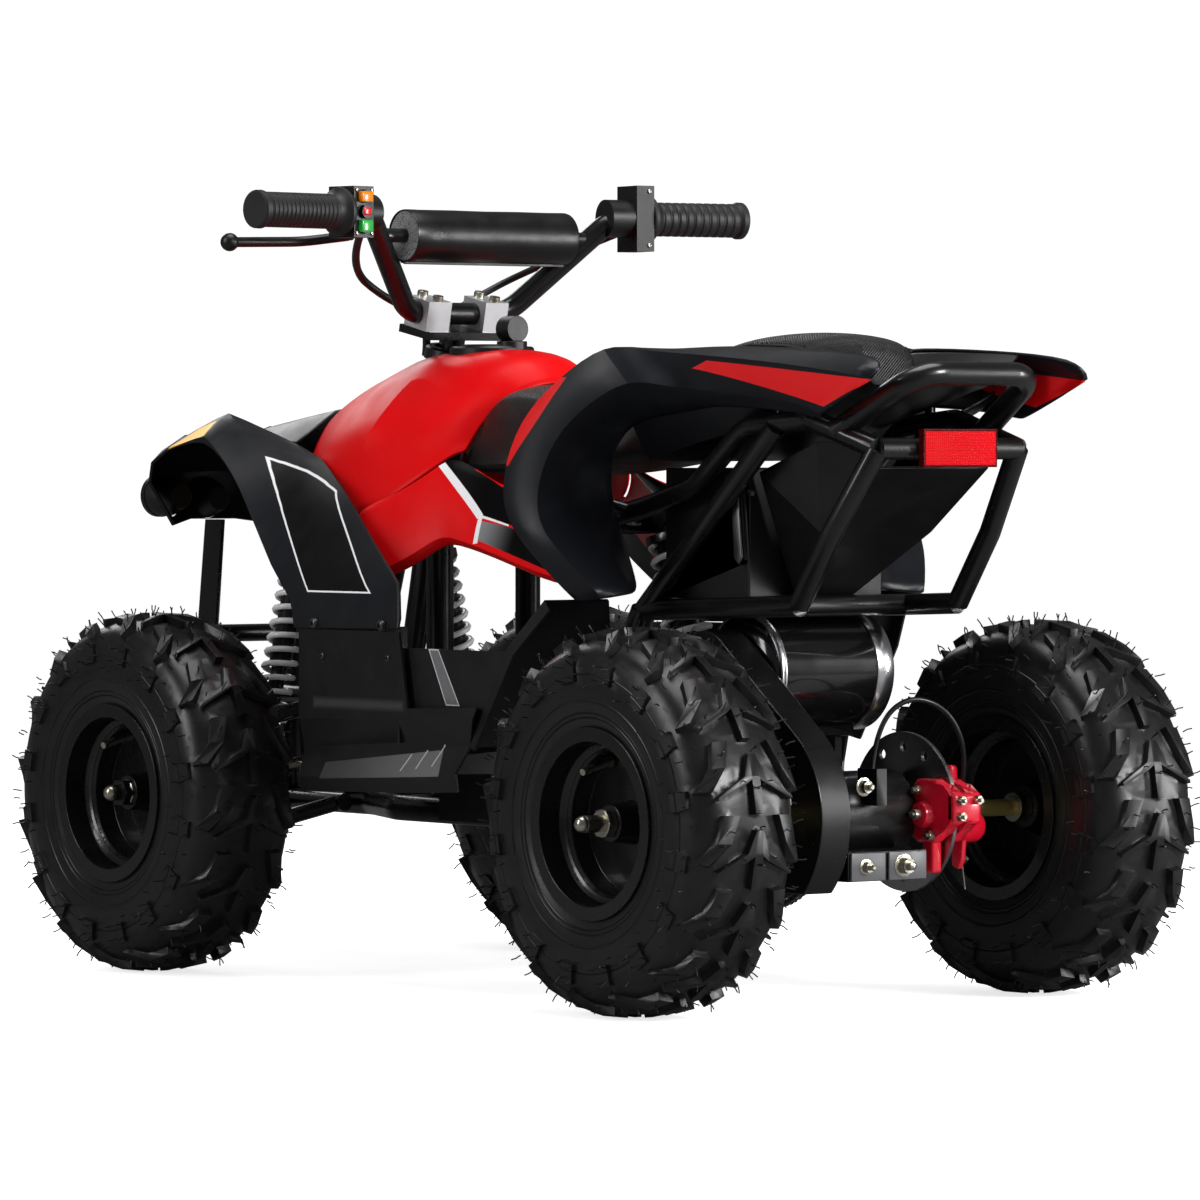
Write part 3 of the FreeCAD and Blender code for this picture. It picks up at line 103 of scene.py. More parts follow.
target = at(0, -370, 172)
towards_camera = Vector((math.sin(VIEW_TURN) * math.cos(VIEW_RISE),
                         math.cos(VIEW_TURN) * math.cos(VIEW_RISE), math.sin(VIEW_RISE)))
camera = bpy.data.objects.new("camera", bpy.data.cameras.new("camera"))
bpy.context.scene.collection.objects.link(camera)
camera.location = target + towards_camera * VIEW_DISTANCE
camera.rotation_mode = "QUATERNION"
camera.rotation_quaternion = (-towards_camera).to_track_quat("-Z", "Y")
camera.data.lens = LENS_MM
camera.data.shift_y = SHIFT_UP
bpy.context.scene.camera = camera
bpy.context.scene.view_settings.view_transform = "Standard"
print("camera at", tuple(round(v, 3) for v in camera.location))

# %% Node helpers for every material


def add_node(material, kind, **settings):
    """A shader node with some of its settings and input values set."""
    node = material.node_tree.nodes.new(kind)
    for key, value in settings.items():
        if key in node.inputs:
            node.inputs[key].default_value = value
        else:
            setattr(node, key, value)
    return node


def wire(material, start, end):
    material.node_tree.links.new(start, end)


def math_node(material, operation, first, second=None, clamp=False):
    node = add_node(material, "ShaderNodeMath", operation=operation, use_clamp=clamp)
    for k, value in enumerate((first, second)):
        if isinstance(value, bpy.types.NodeSocket):
            wire(material, value, node.inputs[k])
        elif value is not None:
            node.inputs[k].default_value = value
    return node.outputs[0]


def new_material(name, colour, roughness, metallic=0.0, coat=0.0):
    material = bpy.data.materials.new(name)
    material.use_nodes = True
    shader = material.node_tree.nodes["Principled BSDF"]
    shader.inputs["Base Color"].default_value = (*colour, 1.0)
    shader.inputs["Roughness"].default_value = roughness
    shader.inputs["Metallic"].default_value = metallic
    shader.inputs["Coat Weight"].default_value = coat
    shader.inputs["Coat Roughness"].default_value = 0.05
    material.diffuse_color = (*colour, 1.0)
    return material


def shader_of(material):
    return material.node_tree.nodes["Principled BSDF"]


def object_place(material):
    return add_node(material, "ShaderNodeTexCoord").outputs["Object"]


# %% Floor, backdrop and lamps
FLOOR_HALF = 30.0
FLOOR_TONE = 0.88
FLOOR_LIFT = 0.75
WORLD_LIGHT = 0.32
CAMERA_WORLD = 1.05
MIRRORED_WORLD = 0.10
MIRRORED_FLOOR = 0.16


def by_ray(tree, otherwise, camera_value, mirrored):
    """One value for light that falls on the object, one for the camera and one for mirrors."""
    path = tree.nodes.new("ShaderNodeLightPath")
    value = otherwise
    for name, special in (("Is Glossy Ray", mirrored), ("Is Camera Ray", camera_value)):
        mixer = tree.nodes.new("ShaderNodeMix")
        tree.links.new(path.outputs[name], mixer.inputs["Factor"])
        if isinstance(value, bpy.types.NodeSocket):
            tree.links.new(value, mixer.inputs["A"])
        else:
            mixer.inputs["A"].default_value = value
        mixer.inputs["B"].default_value = special
        value = mixer.outputs["Result"]
    return value


def make_floor():
    bm = bmesh.new()
    bmesh.ops.create_grid(bm, x_segments=1, y_segments=1, size=FLOOR_HALF)
    mesh = bpy.data.meshes.new("floor")
    bm.to_mesh(mesh)
    bm.free()
    floor = bpy.data.objects.new("floor", mesh)
    bpy.context.scene.collection.objects.link(floor)
    material = new_material("floor_paint", (FLOOR_TONE,) * 3, 0.6)
    shader = shader_of(material)
    shader.inputs["Specular IOR Level"].default_value = 0.1
    shader.inputs["Emission Color"].default_value = (1, 1, 1, 1)
    wire(material, by_ray(material.node_tree, FLOOR_TONE, FLOOR_TONE, MIRRORED_FLOOR),
         shader.inputs["Base Color"])
    wire(material, by_ray(material.node_tree, 0.0, FLOOR_LIFT, 0.0), shader.inputs["Emission Strength"])
    mesh.materials.append(material)
    floor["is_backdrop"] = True


def make_world():
    world = bpy.data.worlds.new("studio")
    bpy.context.scene.world = world
    world.use_nodes = True
    background = world.node_tree.nodes["Background"]
    background.inputs["Color"].default_value = (1, 1, 1, 1)
    strength = by_ray(world.node_tree, WORLD_LIGHT, CAMERA_WORLD, MIRRORED_WORLD)
    world.node_tree.links.new(strength, background.inputs["Strength"])


def make_lamp(name, place, size, power):
    light = bpy.data.lights.new(name, "AREA")
    light.shape = "RECTANGLE"
    light.size, light.size_y = size
    light.energy = power
    lamp = bpy.data.objects.new(name, light)
    lamp.location = place
    lamp.rotation_mode = "QUATERNION"
    lamp.rotation_quaternion = (target - place).to_track_quat("-Z", "Y")
    bpy.context.scene.collection.objects.link(lamp)


make_floor()
make_world()
for name, away, size, power in (("lamp_above", (0.0, 0.2, 3.0), (2.2, 2.2), 62),
                                ("lamp_left", (3.3, -0.6, 1.5), (0.8, 2.2), 40),
                                ("lamp_rear", (-0.9, 3.6, 1.3), (1.1, 1.0), 110),
                                ("lamp_low", (-2.6, 2.6, 0.35), (0.5, 1.2), 45),
                                ("lamp_front", (-1.0, -3.4, 1.8), (1.6, 1.4), 20)):
    make_lamp(name, target + Vector(away), size, power)

# %% [markdown]
# ## Finishes
# Almost everything here is moulded plastic or powder-coated steel, so one small recipe serves most of
# it: a base colour that drifts a little, a roughness that wanders with a coarse cloud, and a fine grain
# as bump. The grain is what tells satin powder coat from gloss lacquer. The patterns read the object's
# own coordinates in metres, so their scale is the same on every piece.

# %% Grain, clouds and worn tones
DRIFT_SCALE = 14.0
WANDER_SCALE = 38.0


def cloud(material, scale, detail=3.0):
    noise = add_node(material, "ShaderNodeTexNoise", Scale=scale, Detail=detail)
    wire(material, object_place(material), noise.inputs["Vector"])
    return noise.outputs["Fac"]


def spread(material, value, low, high):
    """A 0 to 1 value carried to low..high, without its thin tails."""
    ranger = add_node(material, "ShaderNodeMapRange")
    for key, number in (("From Min", 0.3), ("From Max", 0.7), ("To Min", low), ("To Max", high)):
        ranger.inputs[key].default_value = number
    wire(material, value, ranger.inputs["Value"])
    return ranger.outputs["Result"]


def add_bump(material, height, distance, strength=1.0):
    """A bump on top of whatever bump the shader already has."""
    shader = shader_of(material)
    bump = add_node(material, "ShaderNodeBump", Distance=distance, Strength=strength)
    wire(material, height, bump.inputs["Height"])
    if shader.inputs["Normal"].links:
        wire(material, shader.inputs["Normal"].links[0].from_socket, bump.inputs["Normal"])
    wire(material, bump.outputs["Normal"], shader.inputs["Normal"])


def mix_colour(material, factor, first, second):
    mixer = add_node(material, "ShaderNodeMix", data_type="RGBA")
    wire(material, factor, mixer.inputs["Factor"])
    for key, value in (("A", first), ("B", second)):
        socket = next(s for s in mixer.inputs if s.name == key and s.type == "RGBA")
        if isinstance(value, bpy.types.NodeSocket):
            wire(material, value, socket)
        else:
            socket.default_value = (*value, 1.0)
    return next(s for s in mixer.outputs if s.type == "RGBA")


def surface(name, colour, roughness, drift=0.12, grain=900.0, grain_height=0.00004, metallic=0.0,
            coat=0.0, shine=0.5):
    """One moulded or painted surface: tone drift, wandering roughness and a fine grain."""
    material = new_material(name, colour, roughness, metallic, coat)
    shader = shader_of(material)
    shader.inputs["Specular IOR Level"].default_value = shine
    dark = tuple(c * (1 - drift) for c in colour)
    light = tuple(min(1.0, c * (1 + drift)) for c in colour)
    tone = mix_colour(material, spread(material, cloud(material, DRIFT_SCALE), 0.0, 1.0), dark, light)
    wire(material, tone, shader.inputs["Base Color"])
    wander = spread(material, cloud(material, WANDER_SCALE), roughness * 0.85, roughness * 1.15)
    wire(material, wander, shader.inputs["Roughness"])
    if grain_height:
        add_bump(material, cloud(material, grain, 2.0), grain_height)
    return material


# %% [markdown]
# ## Painted fields
# Stripes, label borders and a painted highlight on the footwell's facets are painted where they lie, by
# their outline seen from the side. A painted field is convex, so a place is inside it if it is on the inner
# side of every edge. The least of those distances is how deep inside it lies, which also gives a border of
# any width for nothing.

# %% How deep a place lies inside an outline
SOFT_EDGE = 0.0004


def side_view(y, z):
    """A place seen from the side, in metres of the frame."""
    place = at(0, y, z)
    return place.y, place.z


def depth_inside(material, outline):
    """Distance in metres inside a convex outline of (y, z) corners in mm, negative outside it."""
    corners = [side_view(*corner) for corner in outline]
    middle_y = sum(c[0] for c in corners) / len(corners)
    middle_z = sum(c[1] for c in corners) / len(corners)
    place = object_place(material)
    depth = None
    for (y0, z0), (y1, z1) in zip(corners, corners[1:] + corners[:1]):
        normal = Vector((0, z0 - z1, y1 - y0)).normalized()
        if normal.dot(Vector((0, middle_y - y0, middle_z - z0))) < 0:
            normal = -normal
        dot = add_node(material, "ShaderNodeVectorMath", operation="DOT_PRODUCT")
        wire(material, place, dot.inputs[0])
        dot.inputs[1].default_value = normal
        distance = math_node(material, "SUBTRACT", dot.outputs["Value"], normal.dot(Vector((0, y0, z0))))
        depth = distance if depth is None else math_node(material, "MINIMUM", depth, distance)
    return depth


def step_up(material, value, edge=0.0, softness=SOFT_EDGE):
    """0 below an edge and 1 above it, with a soft change between."""
    shifted = math_node(material, "SUBTRACT", value, edge - softness / 2)
    return math_node(material, "DIVIDE", shifted, softness, clamp=True)


def ring_of(material, depth, width):
    """1 in a border of that width just inside an outline."""
    inner = math_node(material, "SUBTRACT", 1.0, step_up(material, depth, width))
    return math_node(material, "MULTIPLY", step_up(material, depth), inner)


def paint(material, mask, colour):
    """Paints a colour, or another socket's colour, over the base colour where the mask is 1."""
    shader = shader_of(material)
    links = shader.inputs["Base Color"].links
    before = links[0].from_socket if links else tuple(shader.inputs["Base Color"].default_value)[:3]
    wire(material, mix_colour(material, mask, before, colour), shader.inputs["Base Color"])


def paint_field(material, outline, colour, within=None, softness=SOFT_EDGE):
    """Paints a convex field that is seen from the side, inside a second mask if one is given."""
    mask = step_up(material, depth_inside(material, outline), 0.0, softness)
    paint(material, mask if within is None else math_node(material, "MULTIPLY", mask, within), colour)


def coordinate(material, axis):
    splitter = add_node(material, "ShaderNodeSeparateXYZ")
    wire(material, object_place(material), splitter.inputs[0])
    return splitter.outputs[axis]


def ridges(material, value, pitch):
    """Round ridges from 0 to 1 and back, one in every pitch of mm along a value in metres."""
    wave = math_node(material, "SINE", math_node(material, "MULTIPLY", value, math.pi / (pitch * MM)))
    return math_node(material, "ABSOLUTE", wave)


def beyond_x(material, x):
    """1 where a place is farther than x mm from the middle, on either side."""
    distance = math_node(material, "ABSOLUTE", coordinate(material, "X"))
    return step_up(material, distance, x * MM)


def shade_along(material, start, end, first, second):
    """A colour that goes smoothly from one tone to another along the vehicle."""
    ranger = add_node(material, "ShaderNodeMapRange", interpolation_type="SMOOTHSTEP")
    wire(material, coordinate(material, "Y"), ranger.inputs["Value"])
    for key, y in (("From Min", start), ("From Max", end)):
        ranger.inputs[key].default_value = side_view(y, 0)[0]
    return mix_colour(material, ranger.outputs["Result"], first, second)


# %% The finish of each material slot
BLACK = (0.0035, 0.0035, 0.0038)
NAVY = (0.0065, 0.0070, 0.0095)
RED = (0.66, 0.0025, 0.004)

FINISH = {name: surface(name, colour, roughness, **more) for name, colour, roughness, more in (
    ("frame_paint", BLACK, 0.3, dict(grain=1300, coat=0.3)),
    ("rim_paint", BLACK, 0.28, dict(grain=1100, coat=0.3)),
    ("red_body", RED, 0.34, dict(drift=0.03, grain_height=0, shine=0.1)),
    ("navy_body", NAVY, 0.36, dict(grain=900, grain_height=0.00002)),
    ("foot_plastic", BLACK, 0.42, dict(grain=2200, grain_height=0.00006)),
    ("seat_cover", BLACK, 0.42, dict(grain=900)),
    ("tyre_rubber", (0.006, 0.006, 0.0064), 0.33, dict(grain=1600, grain_height=0.00005)),
    ("zinc", (0.58, 0.55, 0.46), 0.28, dict(metallic=1.0, grain=1500)),
    ("clamp_alloy", (0.6, 0.6, 0.62), 0.34, dict(metallic=0.55, grain=1500)),
    ("white_spring", (0.8, 0.81, 0.83), 0.3, dict(grain=900, coat=0.4)),
    ("caliper_red", (0.55, 0.004, 0.02), 0.25, dict(grain=900, coat=0.5)),
    ("pad_cover", BLACK, 0.34, dict(grain=900)),
    ("grip_rubber", (0.008, 0.008, 0.009), 0.5, dict(grain=2000, grain_height=0.00006)),
    ("control_plastic", BLACK, 0.38, dict(grain=1800)),
    ("reflector_red", (0.6, 0.004, 0.008), 0.2, dict(grain_height=0, shine=0.15)),
    ("motor_paint", BLACK, 0.14, dict(grain=600, coat=0.5, grain_height=0.000008)),
    ("chain_steel", (0.25, 0.24, 0.23), 0.34, dict(metallic=1.0, grain=1500)),
    ("disc_steel", (0.4, 0.4, 0.41), 0.3, dict(metallic=1.0, grain=1500)),
    ("lamp", (0.4, 0.42, 0.45), 0.08, dict(coat=0.8)),
    ("cable_jacket", BLACK, 0.35, dict(grain=1500)),
    ("box_plastic", BLACK, 0.5, dict(grain=1500)),
    ("yellow_zinc", (0.5, 0.41, 0.13), 0.3, dict(metallic=0.8, grain=1500)))}
print(len(FINISH), "finishes")

# %% Stripes and fields on the body
WHITE = (0.8, 0.8, 0.82)
FIELD = (0.0012, 0.0012, 0.0014)

side_paint = surface("side_panel_paint", RED, 0.34, drift=0.03, grain_height=0, shine=0.1)
for dark_field in (((-473, 329), (-462, 337), (-434, 318), (-434, 300)),
                   ((-436, 301), (-402, 276), (-388, 272), (-388, 302), (-436, 319)),
                   ((-390, 273), (-360, 267), (-215, 246), (-215, 284), (-390, 303))):
    paint_field(side_paint, dark_field, FIELD)
paint_field(side_paint, ((-404, 275), (-395, 252), (-279, 221), (-215, 212), (-215, 246), (-360, 265)),
            shade_along(side_paint, -404, -345, (0.22, 0.22, 0.23), FIELD))
for stripe in (((-476, 325), (-471, 328), (-399.5, 276), (-404.5, 272)),
               ((-404.5, 276), (-399.5, 275), (-393, 249), (-398, 248)),
               ((-402, 276), (-360, 267), (-360, 265.4), (-402, 273.5))):
    paint_field(side_paint, stripe, WHITE)

# Less shine than the usual 0.5 keeps the satin plastic dark under the lamps, most of all on the mask.
wing_paint, mask_paint, fender_paint = (
    surface(name, NAVY, 0.36, grain=900, grain_height=0.00002, shine=shine)
    for name, shine in (("wing_paint", 0.3), ("mask_paint", 0.15), ("fender_paint", 0.3)))
paint_field(wing_paint, ((-139, 406), (-203, 324), (-250, 324), (-250, 406)), RED, beyond_x(wing_paint, 214))
paint_field(wing_paint, ((-36.7, 414), (-18.6, 421), (198.7, 402), (129.4, 378)), RED)

YELLOW = (0.9, 0.47, 0.0)
for material in (mask_paint, fender_paint):
    paint_field(material, ((-845, 339), (-812, 360), (-778, 368), (-764, 353)), YELLOW,
                beyond_x(material, 158))
label_outline = ((-693, 336), (-618, 312), (-580, 301), (-430, 201), (-534, 201))
LABEL_BORDER = 1.6 * MM
left_side = step_up(fender_paint, coordinate(fender_paint, "X"))
paint_field(fender_paint, label_outline, FIELD, left_side)
border = ring_of(fender_paint, depth_inside(fender_paint, label_outline), LABEL_BORDER)
paint(fender_paint, math_node(fender_paint, "MULTIPLY", border, left_side), WHITE)

foot_paint = surface("footwell_paint", BLACK, 0.42, grain=2200, grain_height=0.00006)
strip_outline = ((-339, 150), (-323, 150), (-289, 97), (-311, 97))
paint_field(foot_paint, strip_outline, (0.12, 0.12, 0.125))
paint(foot_paint, ring_of(foot_paint, depth_inside(foot_paint, strip_outline), 1.2 * MM), (0.45, 0.45, 0.47))
# Painted highlight: the sloping facet of the footwell skirt is painted lighter where it faces the lamps, in a
# grey that changes along the vehicle.
paint_field(foot_paint, ((-500, 37), (-311, 55), (-311, 30), (-506, 21)),
            shade_along(foot_paint, -500, -320, (0.035, 0.035, 0.036), (0.11, 0.11, 0.112)))
# Painted highlight: a soft lighter band along the fold of the footwell panel.
paint_field(foot_paint, ((-515, 99), (-368, 99), (-368, 91), (-515, 91)), (0.03, 0.03, 0.032),
            softness=0.005)
for (y0, z0), (y1, z1) in (((-361, 49), (-375, 33)), ((-336, 54), (-350, 36)), ((-309, 60), (-325, 39))):
    paint_field(foot_paint, ((y0 - 1, z0), (y0 + 1, z0), (y1 + 1, z1), (y1 - 1, z1)), (0.35, 0.35, 0.36))
print("painted", [m.name for m in bpy.data.materials if m.name.endswith("_paint")])

# %% [markdown]
# ## Dressing the rigid pieces
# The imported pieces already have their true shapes, but as loose triangles with knife edges. A real casting
# or moulding has a small round on each edge that catches the light. So each piece is copied, its
# triangles are merged into whole faces, and a Bevel modifier rounds what is sharper than a set angle.
# The moulded panels go one step further: their triangles pair up into the quads that they were drawn
# with, the sharp folds are creased, and a Subdivision Surface rounds the rest, as a mould would.

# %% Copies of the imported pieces
SHARP_FOLD, SOFT_FOLD = 60, 24
SAME_PLACE = 0.02 * MM
SAME_PLANE = math.radians(0.6)


def put(bm, name, body, materials, sharp=35.0):
    """Turns a bmesh into a finished object at the origin that rides on a body."""
    mesh = bpy.data.meshes.new(name)
    bm.to_mesh(mesh)
    bm.free()
    mesh.shade_smooth()
    mesh.set_sharp_from_angle(angle=math.radians(sharp))
    for material in materials:
        mesh.materials.append(material)
    piece = bpy.data.objects.new(name, mesh)
    bpy.context.scene.collection.objects.link(piece)
    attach(piece, body)
    return piece


def merged_copy(node):
    bm = bmesh.new()
    bm.from_mesh(frame["nodes"][node].data)
    bmesh.ops.remove_doubles(bm, verts=bm.verts, dist=SAME_PLACE)
    return bm


def stand_for(piece, node):
    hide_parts(node)
    return piece


def round_edges(piece, width, angle=30.0):
    bevel = piece.modifiers.new("rounded_edges", "BEVEL")
    bevel.width = width * MM
    bevel.segments = 2
    bevel.limit_method = "ANGLE"
    bevel.angle_limit = math.radians(angle)
    bevel.harden_normals = True


def smoothed(piece, name):
    rounding = piece.modifiers.new(name, "SUBSURF")
    rounding.levels = rounding.render_levels = 2
    return piece


def dressed(node, width, angle):
    """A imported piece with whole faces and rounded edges, in the finish of its slot."""
    bm = merged_copy(node)
    bmesh.ops.dissolve_limit(bm, angle_limit=SAME_PLANE, verts=bm.verts, edges=bm.edges)
    piece = put(bm, node + "_dressed", BODY_OF[node], [FINISH[SLOT_OF[node]]], angle)
    round_edges(piece, width, angle)
    return stand_for(piece, node)


def moulded(node):
    """A packed panel as the smooth moulding that its flat facets stand for."""
    bm = merged_copy(node)
    bmesh.ops.join_triangles(bm, faces=bm.faces, angle_face_threshold=math.radians(50),
                             angle_shape_threshold=math.radians(80), topology_influence=1.9)
    creases = bm.edges.layers.float.new("crease_edge")
    for edge in bm.edges:
        fold = math.degrees(edge.calc_face_angle(0.0))
        if fold > SHARP_FOLD:
            edge[creases] = 0.9
        elif fold > SOFT_FOLD:
            edge[creases] = 0.55
    piece = put(bm, node + "_moulded", BODY_OF[node], [FINISH[SLOT_OF[node]]], 40)
    return stand_for(smoothed(piece, "moulded_form"), node)


# %% [markdown]
# ## Shells drawn again
# The tank, its side panels, the wings and the rest of the body are thin mouldings with a few sharp folds
# and long soft curves between them. Each is drawn as rows of places over its outer face. Quads join the
# rows, Solidify gives the wall, and Subdivision Surface rounds all but the folds, which are creased.

# %% A shell from rows of places
WALL = 3.0


def shell(name, node, rows, material, folds=(), skip=(), sides=(1,), centred=False, lines=()):
    """A moulded shell. Folds are whole columns that stay sharp, lines are single edges that do."""
    bm = bmesh.new()
    creases = bm.edges.layers.float.new("crease_edge")
    for side in sides:
        if centred:
            drawn = [[(-x, y, z) for x, y, z in reversed(row) if x > 0] + list(row) for row in rows]
        else:
            drawn = [[(side * x, y, z) for x, y, z in row][::side] for row in rows]
        grid = [[bm.verts.new(at(*place)) for place in row] for row in drawn]
        width = len(grid[0])
        for i, (row, following) in enumerate(zip(grid, grid[1:])):
            for j in range(width - 1):
                if (i, j) not in skip:
                    bm.faces.new((row[j], row[j + 1], following[j + 1], following[j]))
        for column, strength in folds:
            mirrored = width - 1 - column
            columns = {column, mirrored} if centred else {column if side > 0 else mirrored}
            for j in columns:
                for row, following in zip(grid, grid[1:]):
                    edge = bm.edges.get((row[j], following[j]))
                    if edge:
                        edge[creases] = strength
        for (i0, j0), (i1, j1), strength in lines:
            shift = len(rows[0]) - 1
            for way in (1, -1):
                edge = bm.edges.get((grid[i0][shift + way * j0], grid[i1][shift + way * j1]))
                edge[creases] = strength
    bmesh.ops.delete(bm, geom=[v for v in bm.verts if not v.link_faces], context="VERTS")
    piece = put(bm, name, BODY_OF[node], [material], 50)
    for edge, crease in zip(piece.data.edges, piece.data.attributes["crease_edge"].data):
        edge.use_edge_sharp = edge.use_edge_sharp or crease.value > 0.78
    wall = piece.modifiers.new("wall", "SOLIDIFY")
    wall.thickness = WALL * MM
    wall.offset = -1
    wall.use_even_offset = True
    wall.edge_crease_outer = wall.edge_crease_inner = 0.8
    return stand_for(smoothed(piece, "moulded_form"), node)


# %% The tank, open round the steering column, with its rear edge curled over the saddle
TANK = (
    ((0, -740, 385), (36, -740, 383), (62, -738, 371), (88, -733, 333), (98, -727, 300), (106, -722, 270)),
    ((0, -700, 402), (40, -700, 400), (72, -698, 386), (108, -694, 342), (120, -688, 303), (130, -678, 271)),
    ((0, -645, 421), (44, -645, 418), (80, -640, 402), (124, -640, 352), (136, -650, 305), (144, -625, 273)),
    ((0, -585, 436), (44, -583, 434), (72, -573, 421), (134, -570, 356), (141, -600, 305), (156, -562, 273)),
    ((0, -530, 440), (50, -530, 437), (82, -529, 399), (117, -527, 362), (137, -528, 318), (145, -508, 296)),
    ((0, -480, 440), (54, -481, 432), (82, -483, 393), (101, -481, 352), (111, -479, 337), (119, -475, 325)),
    ((0, -448, 432), (50, -449, 422), (76, -466, 381), (91, -469, 348), (97, -469, 342), (101, -469, 336)),
    ((0, -428, 407), (45, -432, 400), (72, -459, 372), (85, -464, 349), (90, -464, 343), (94, -463, 337)))
shell("tank_shell", "tank_cover", TANK, FINISH["red_body"], skip=((2, 4), (2, 5)), centred=True,
      lines=(((3, 2), (3, 3), 0.8), ((3, 3), (3, 4), 0.8), ((3, 2), (4, 2), 0.8), ((4, 2), (5, 2), 0.8),
             ((1, 3), (2, 3), 0.2), ((2, 3), (3, 3), 0.4)))

# %% The panels below the tank, with a lip turned in along their lower edge
SIDE = (((163, -554, 281), (176, -532, 252), (181, -496, 217), (173, -492, 210)),
        ((145, -507, 295), (154, -482, 268), (158, -457, 238), (150, -455, 231)),
        ((122, -473, 322), (134, -458, 288), (140, -443, 256), (132, -441, 249)),
        ((105, -466, 334), (126, -436, 292), (137, -421, 252), (129, -418, 245)),
        ((98, -432, 318), (120, -411, 280), (134, -403, 248), (126, -400, 241)),
        ((103, -390, 303), (120, -377, 268), (130, -361, 237), (122, -357, 230)),
        ((106, -310, 293), (120, -301, 250), (126, -291, 217), (118, -287, 210)),
        ((108, -240, 286), (116, -232, 248), (120, -226, 212), (112, -224, 206)))
shell("side_panel_shells", "side_panels", SIDE, side_paint, folds=((2, 0.8),), sides=(1, -1))

# %% The wings before the rear wheels: face, rim, and the hollow inside the rim
WING = (((120, -184, 198), (206, -140, 197), (196, -112, 202), (152, -120, 206), (124, -148, 208)),
        ((118, -204, 240), (237, -178, 246), (224, -142, 244), (158, -152, 244), (122, -168, 246)),
        ((118, -226, 280), (241, -208, 278), (230, -168, 272), (156, -194, 286), (120, -196, 292)),
        ((119, -232, 318), (241, -211, 314), (228, -170, 306), (154, -198, 324), (121, -194, 330)),
        ((124, -216, 362), (234, -194, 366), (222, -152, 350), (152, -182, 352), (122, -176, 352)),
        ((138, -176, 400), (222, -152, 404), (211, -114, 382), (152, -144, 371), (122, -150, 367)),
        ((150, -112, 434), (204, -96, 440), (198, -68, 405), (150, -102, 379), (122, -98, 372)),
        ((136, -76, 432), (178, -78, 431), (171, -50, 397), (146, -60, 382), (120, -58, 376)),
        ((112, -36, 436), (147, -40, 428), (128, -40, 393), (122, -39, 386), (118, -38, 380)),
        ((108, 90, 432), (138, 90, 418), (124, 80, 384), (121, 79, 379), (118, 78, 374)),
        ((112, 205, 424), (132, 200, 404), (128, 124, 372), (125, 118, 369), (122, 114, 366)))
for side, name in ((1, "left"), (-1, "right")):
    shell("wing_" + name, "rear_fender_" + name, WING, wing_paint, sides=(side,),
          folds=((1, 0.75), (2, 0.55), (3, 0.5)))

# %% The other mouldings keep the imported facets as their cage
MOULDED = {"front_fender_left": fender_paint, "front_fender_right": fender_paint,
           "hood": FINISH["navy_body"], "rear_deck": FINISH["navy_body"]}
for node, material in MOULDED.items():
    moulded(node).data.materials[0] = material
print("shells", [o.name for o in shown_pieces() if o.name.endswith(("shell", "shells", "left", "right"))][:12])

# %% [markdown]
# ## Small turned parts
# Bolts, nuts, bands and bosses are all turned about an axis. One function spins them: each step of the
# profile is a ring at a distance along the axis, round or six-sided, so a nut, a dome and a hexagon
# socket come from the same few numbers.

# %% Turning and sweeping


def frame_of(direction):
    """Two directions square to an axis and to each other."""
    axis = Vector(direction).normalized()
    helper = Vector((0, 0, 1)) if abs(axis.z) < 0.9 else Vector((1, 0, 0))
    first = axis.cross(helper).normalized()
    return axis, first, axis.cross(first)


def turn(bm, start, direction, profile, steps=36, hollow=False):
    """Rings of (along, radius) in mm, or (along, radius, 6) for a hexagon, joined in order."""
    axis, first, second = frame_of(direction)
    rings = []
    for along, radius, *sides in profile:
        centre = Vector(start) + axis * along * MM
        ring = []
        for k in range(steps):
            angle = 2 * math.pi * k / steps
            reach = radius
            if sides:
                reach /= math.cos((angle % (math.pi / 3)) - math.pi / 6) / math.cos(math.pi / 6)
            way = first * math.cos(angle) + second * math.sin(angle)
            ring.append(bm.verts.new(centre + way * reach * MM))
        rings.append(ring)
    join_rings(bm, rings, hollow)


def join_rings(bm, rings, hollow=False):
    """Quads between rings, with the ends closed, or the last ring joined to the first if hollow."""
    steps = len(rings[0])
    for ring, following in zip(rings, rings[1:] + rings[:1] if hollow else rings[1:]):
        for k in range(steps):
            bm.faces.new((ring[k], ring[(k + 1) % steps], following[(k + 1) % steps], following[k]))
    if not hollow:
        bm.faces.new(rings[0][::-1])
        bm.faces.new(rings[-1])


def sweep(bm, places, radius, steps=10):
    """A round wire along places, with its ends closed."""
    places = [Vector(p) for p in places]
    side = frame_of(places[1] - places[0])[1]
    rings = []
    for k, place in enumerate(places):
        ahead = (places[min(k + 1, len(places) - 1)] - places[max(k - 1, 0)]).normalized()
        side = (side - ahead * side.dot(ahead)).normalized()
        other = ahead.cross(side)
        rings.append([bm.verts.new(place + (side * math.cos(a) + other * math.sin(a)) * radius * MM)
                      for a in (2 * math.pi * n / steps for n in range(steps))])
    join_rings(bm, rings)


def dome_bolt(bm, place, direction, radius):
    """A button head with a hexagon socket."""
    high = radius * 0.6
    turn(bm, place, direction, ((-1, radius), (0, radius), (high * 0.55, radius * 0.94),
                                (high * 0.9, radius * 0.72), (high, radius * 0.58), (high, radius * 0.5, 6),
                                (high * 0.35, radius * 0.48, 6)), 24)


def hex_nut(bm, place, direction, radius, height):
    turn(bm, place, direction, ((-0.5, radius * 0.9), (0, radius * 0.92), (height * 0.12, radius, 6),
                                (height * 0.85, radius, 6), (height, radius * 0.86), (height, radius * 0.45),
                                (height * 0.6, radius * 0.42)), 24)


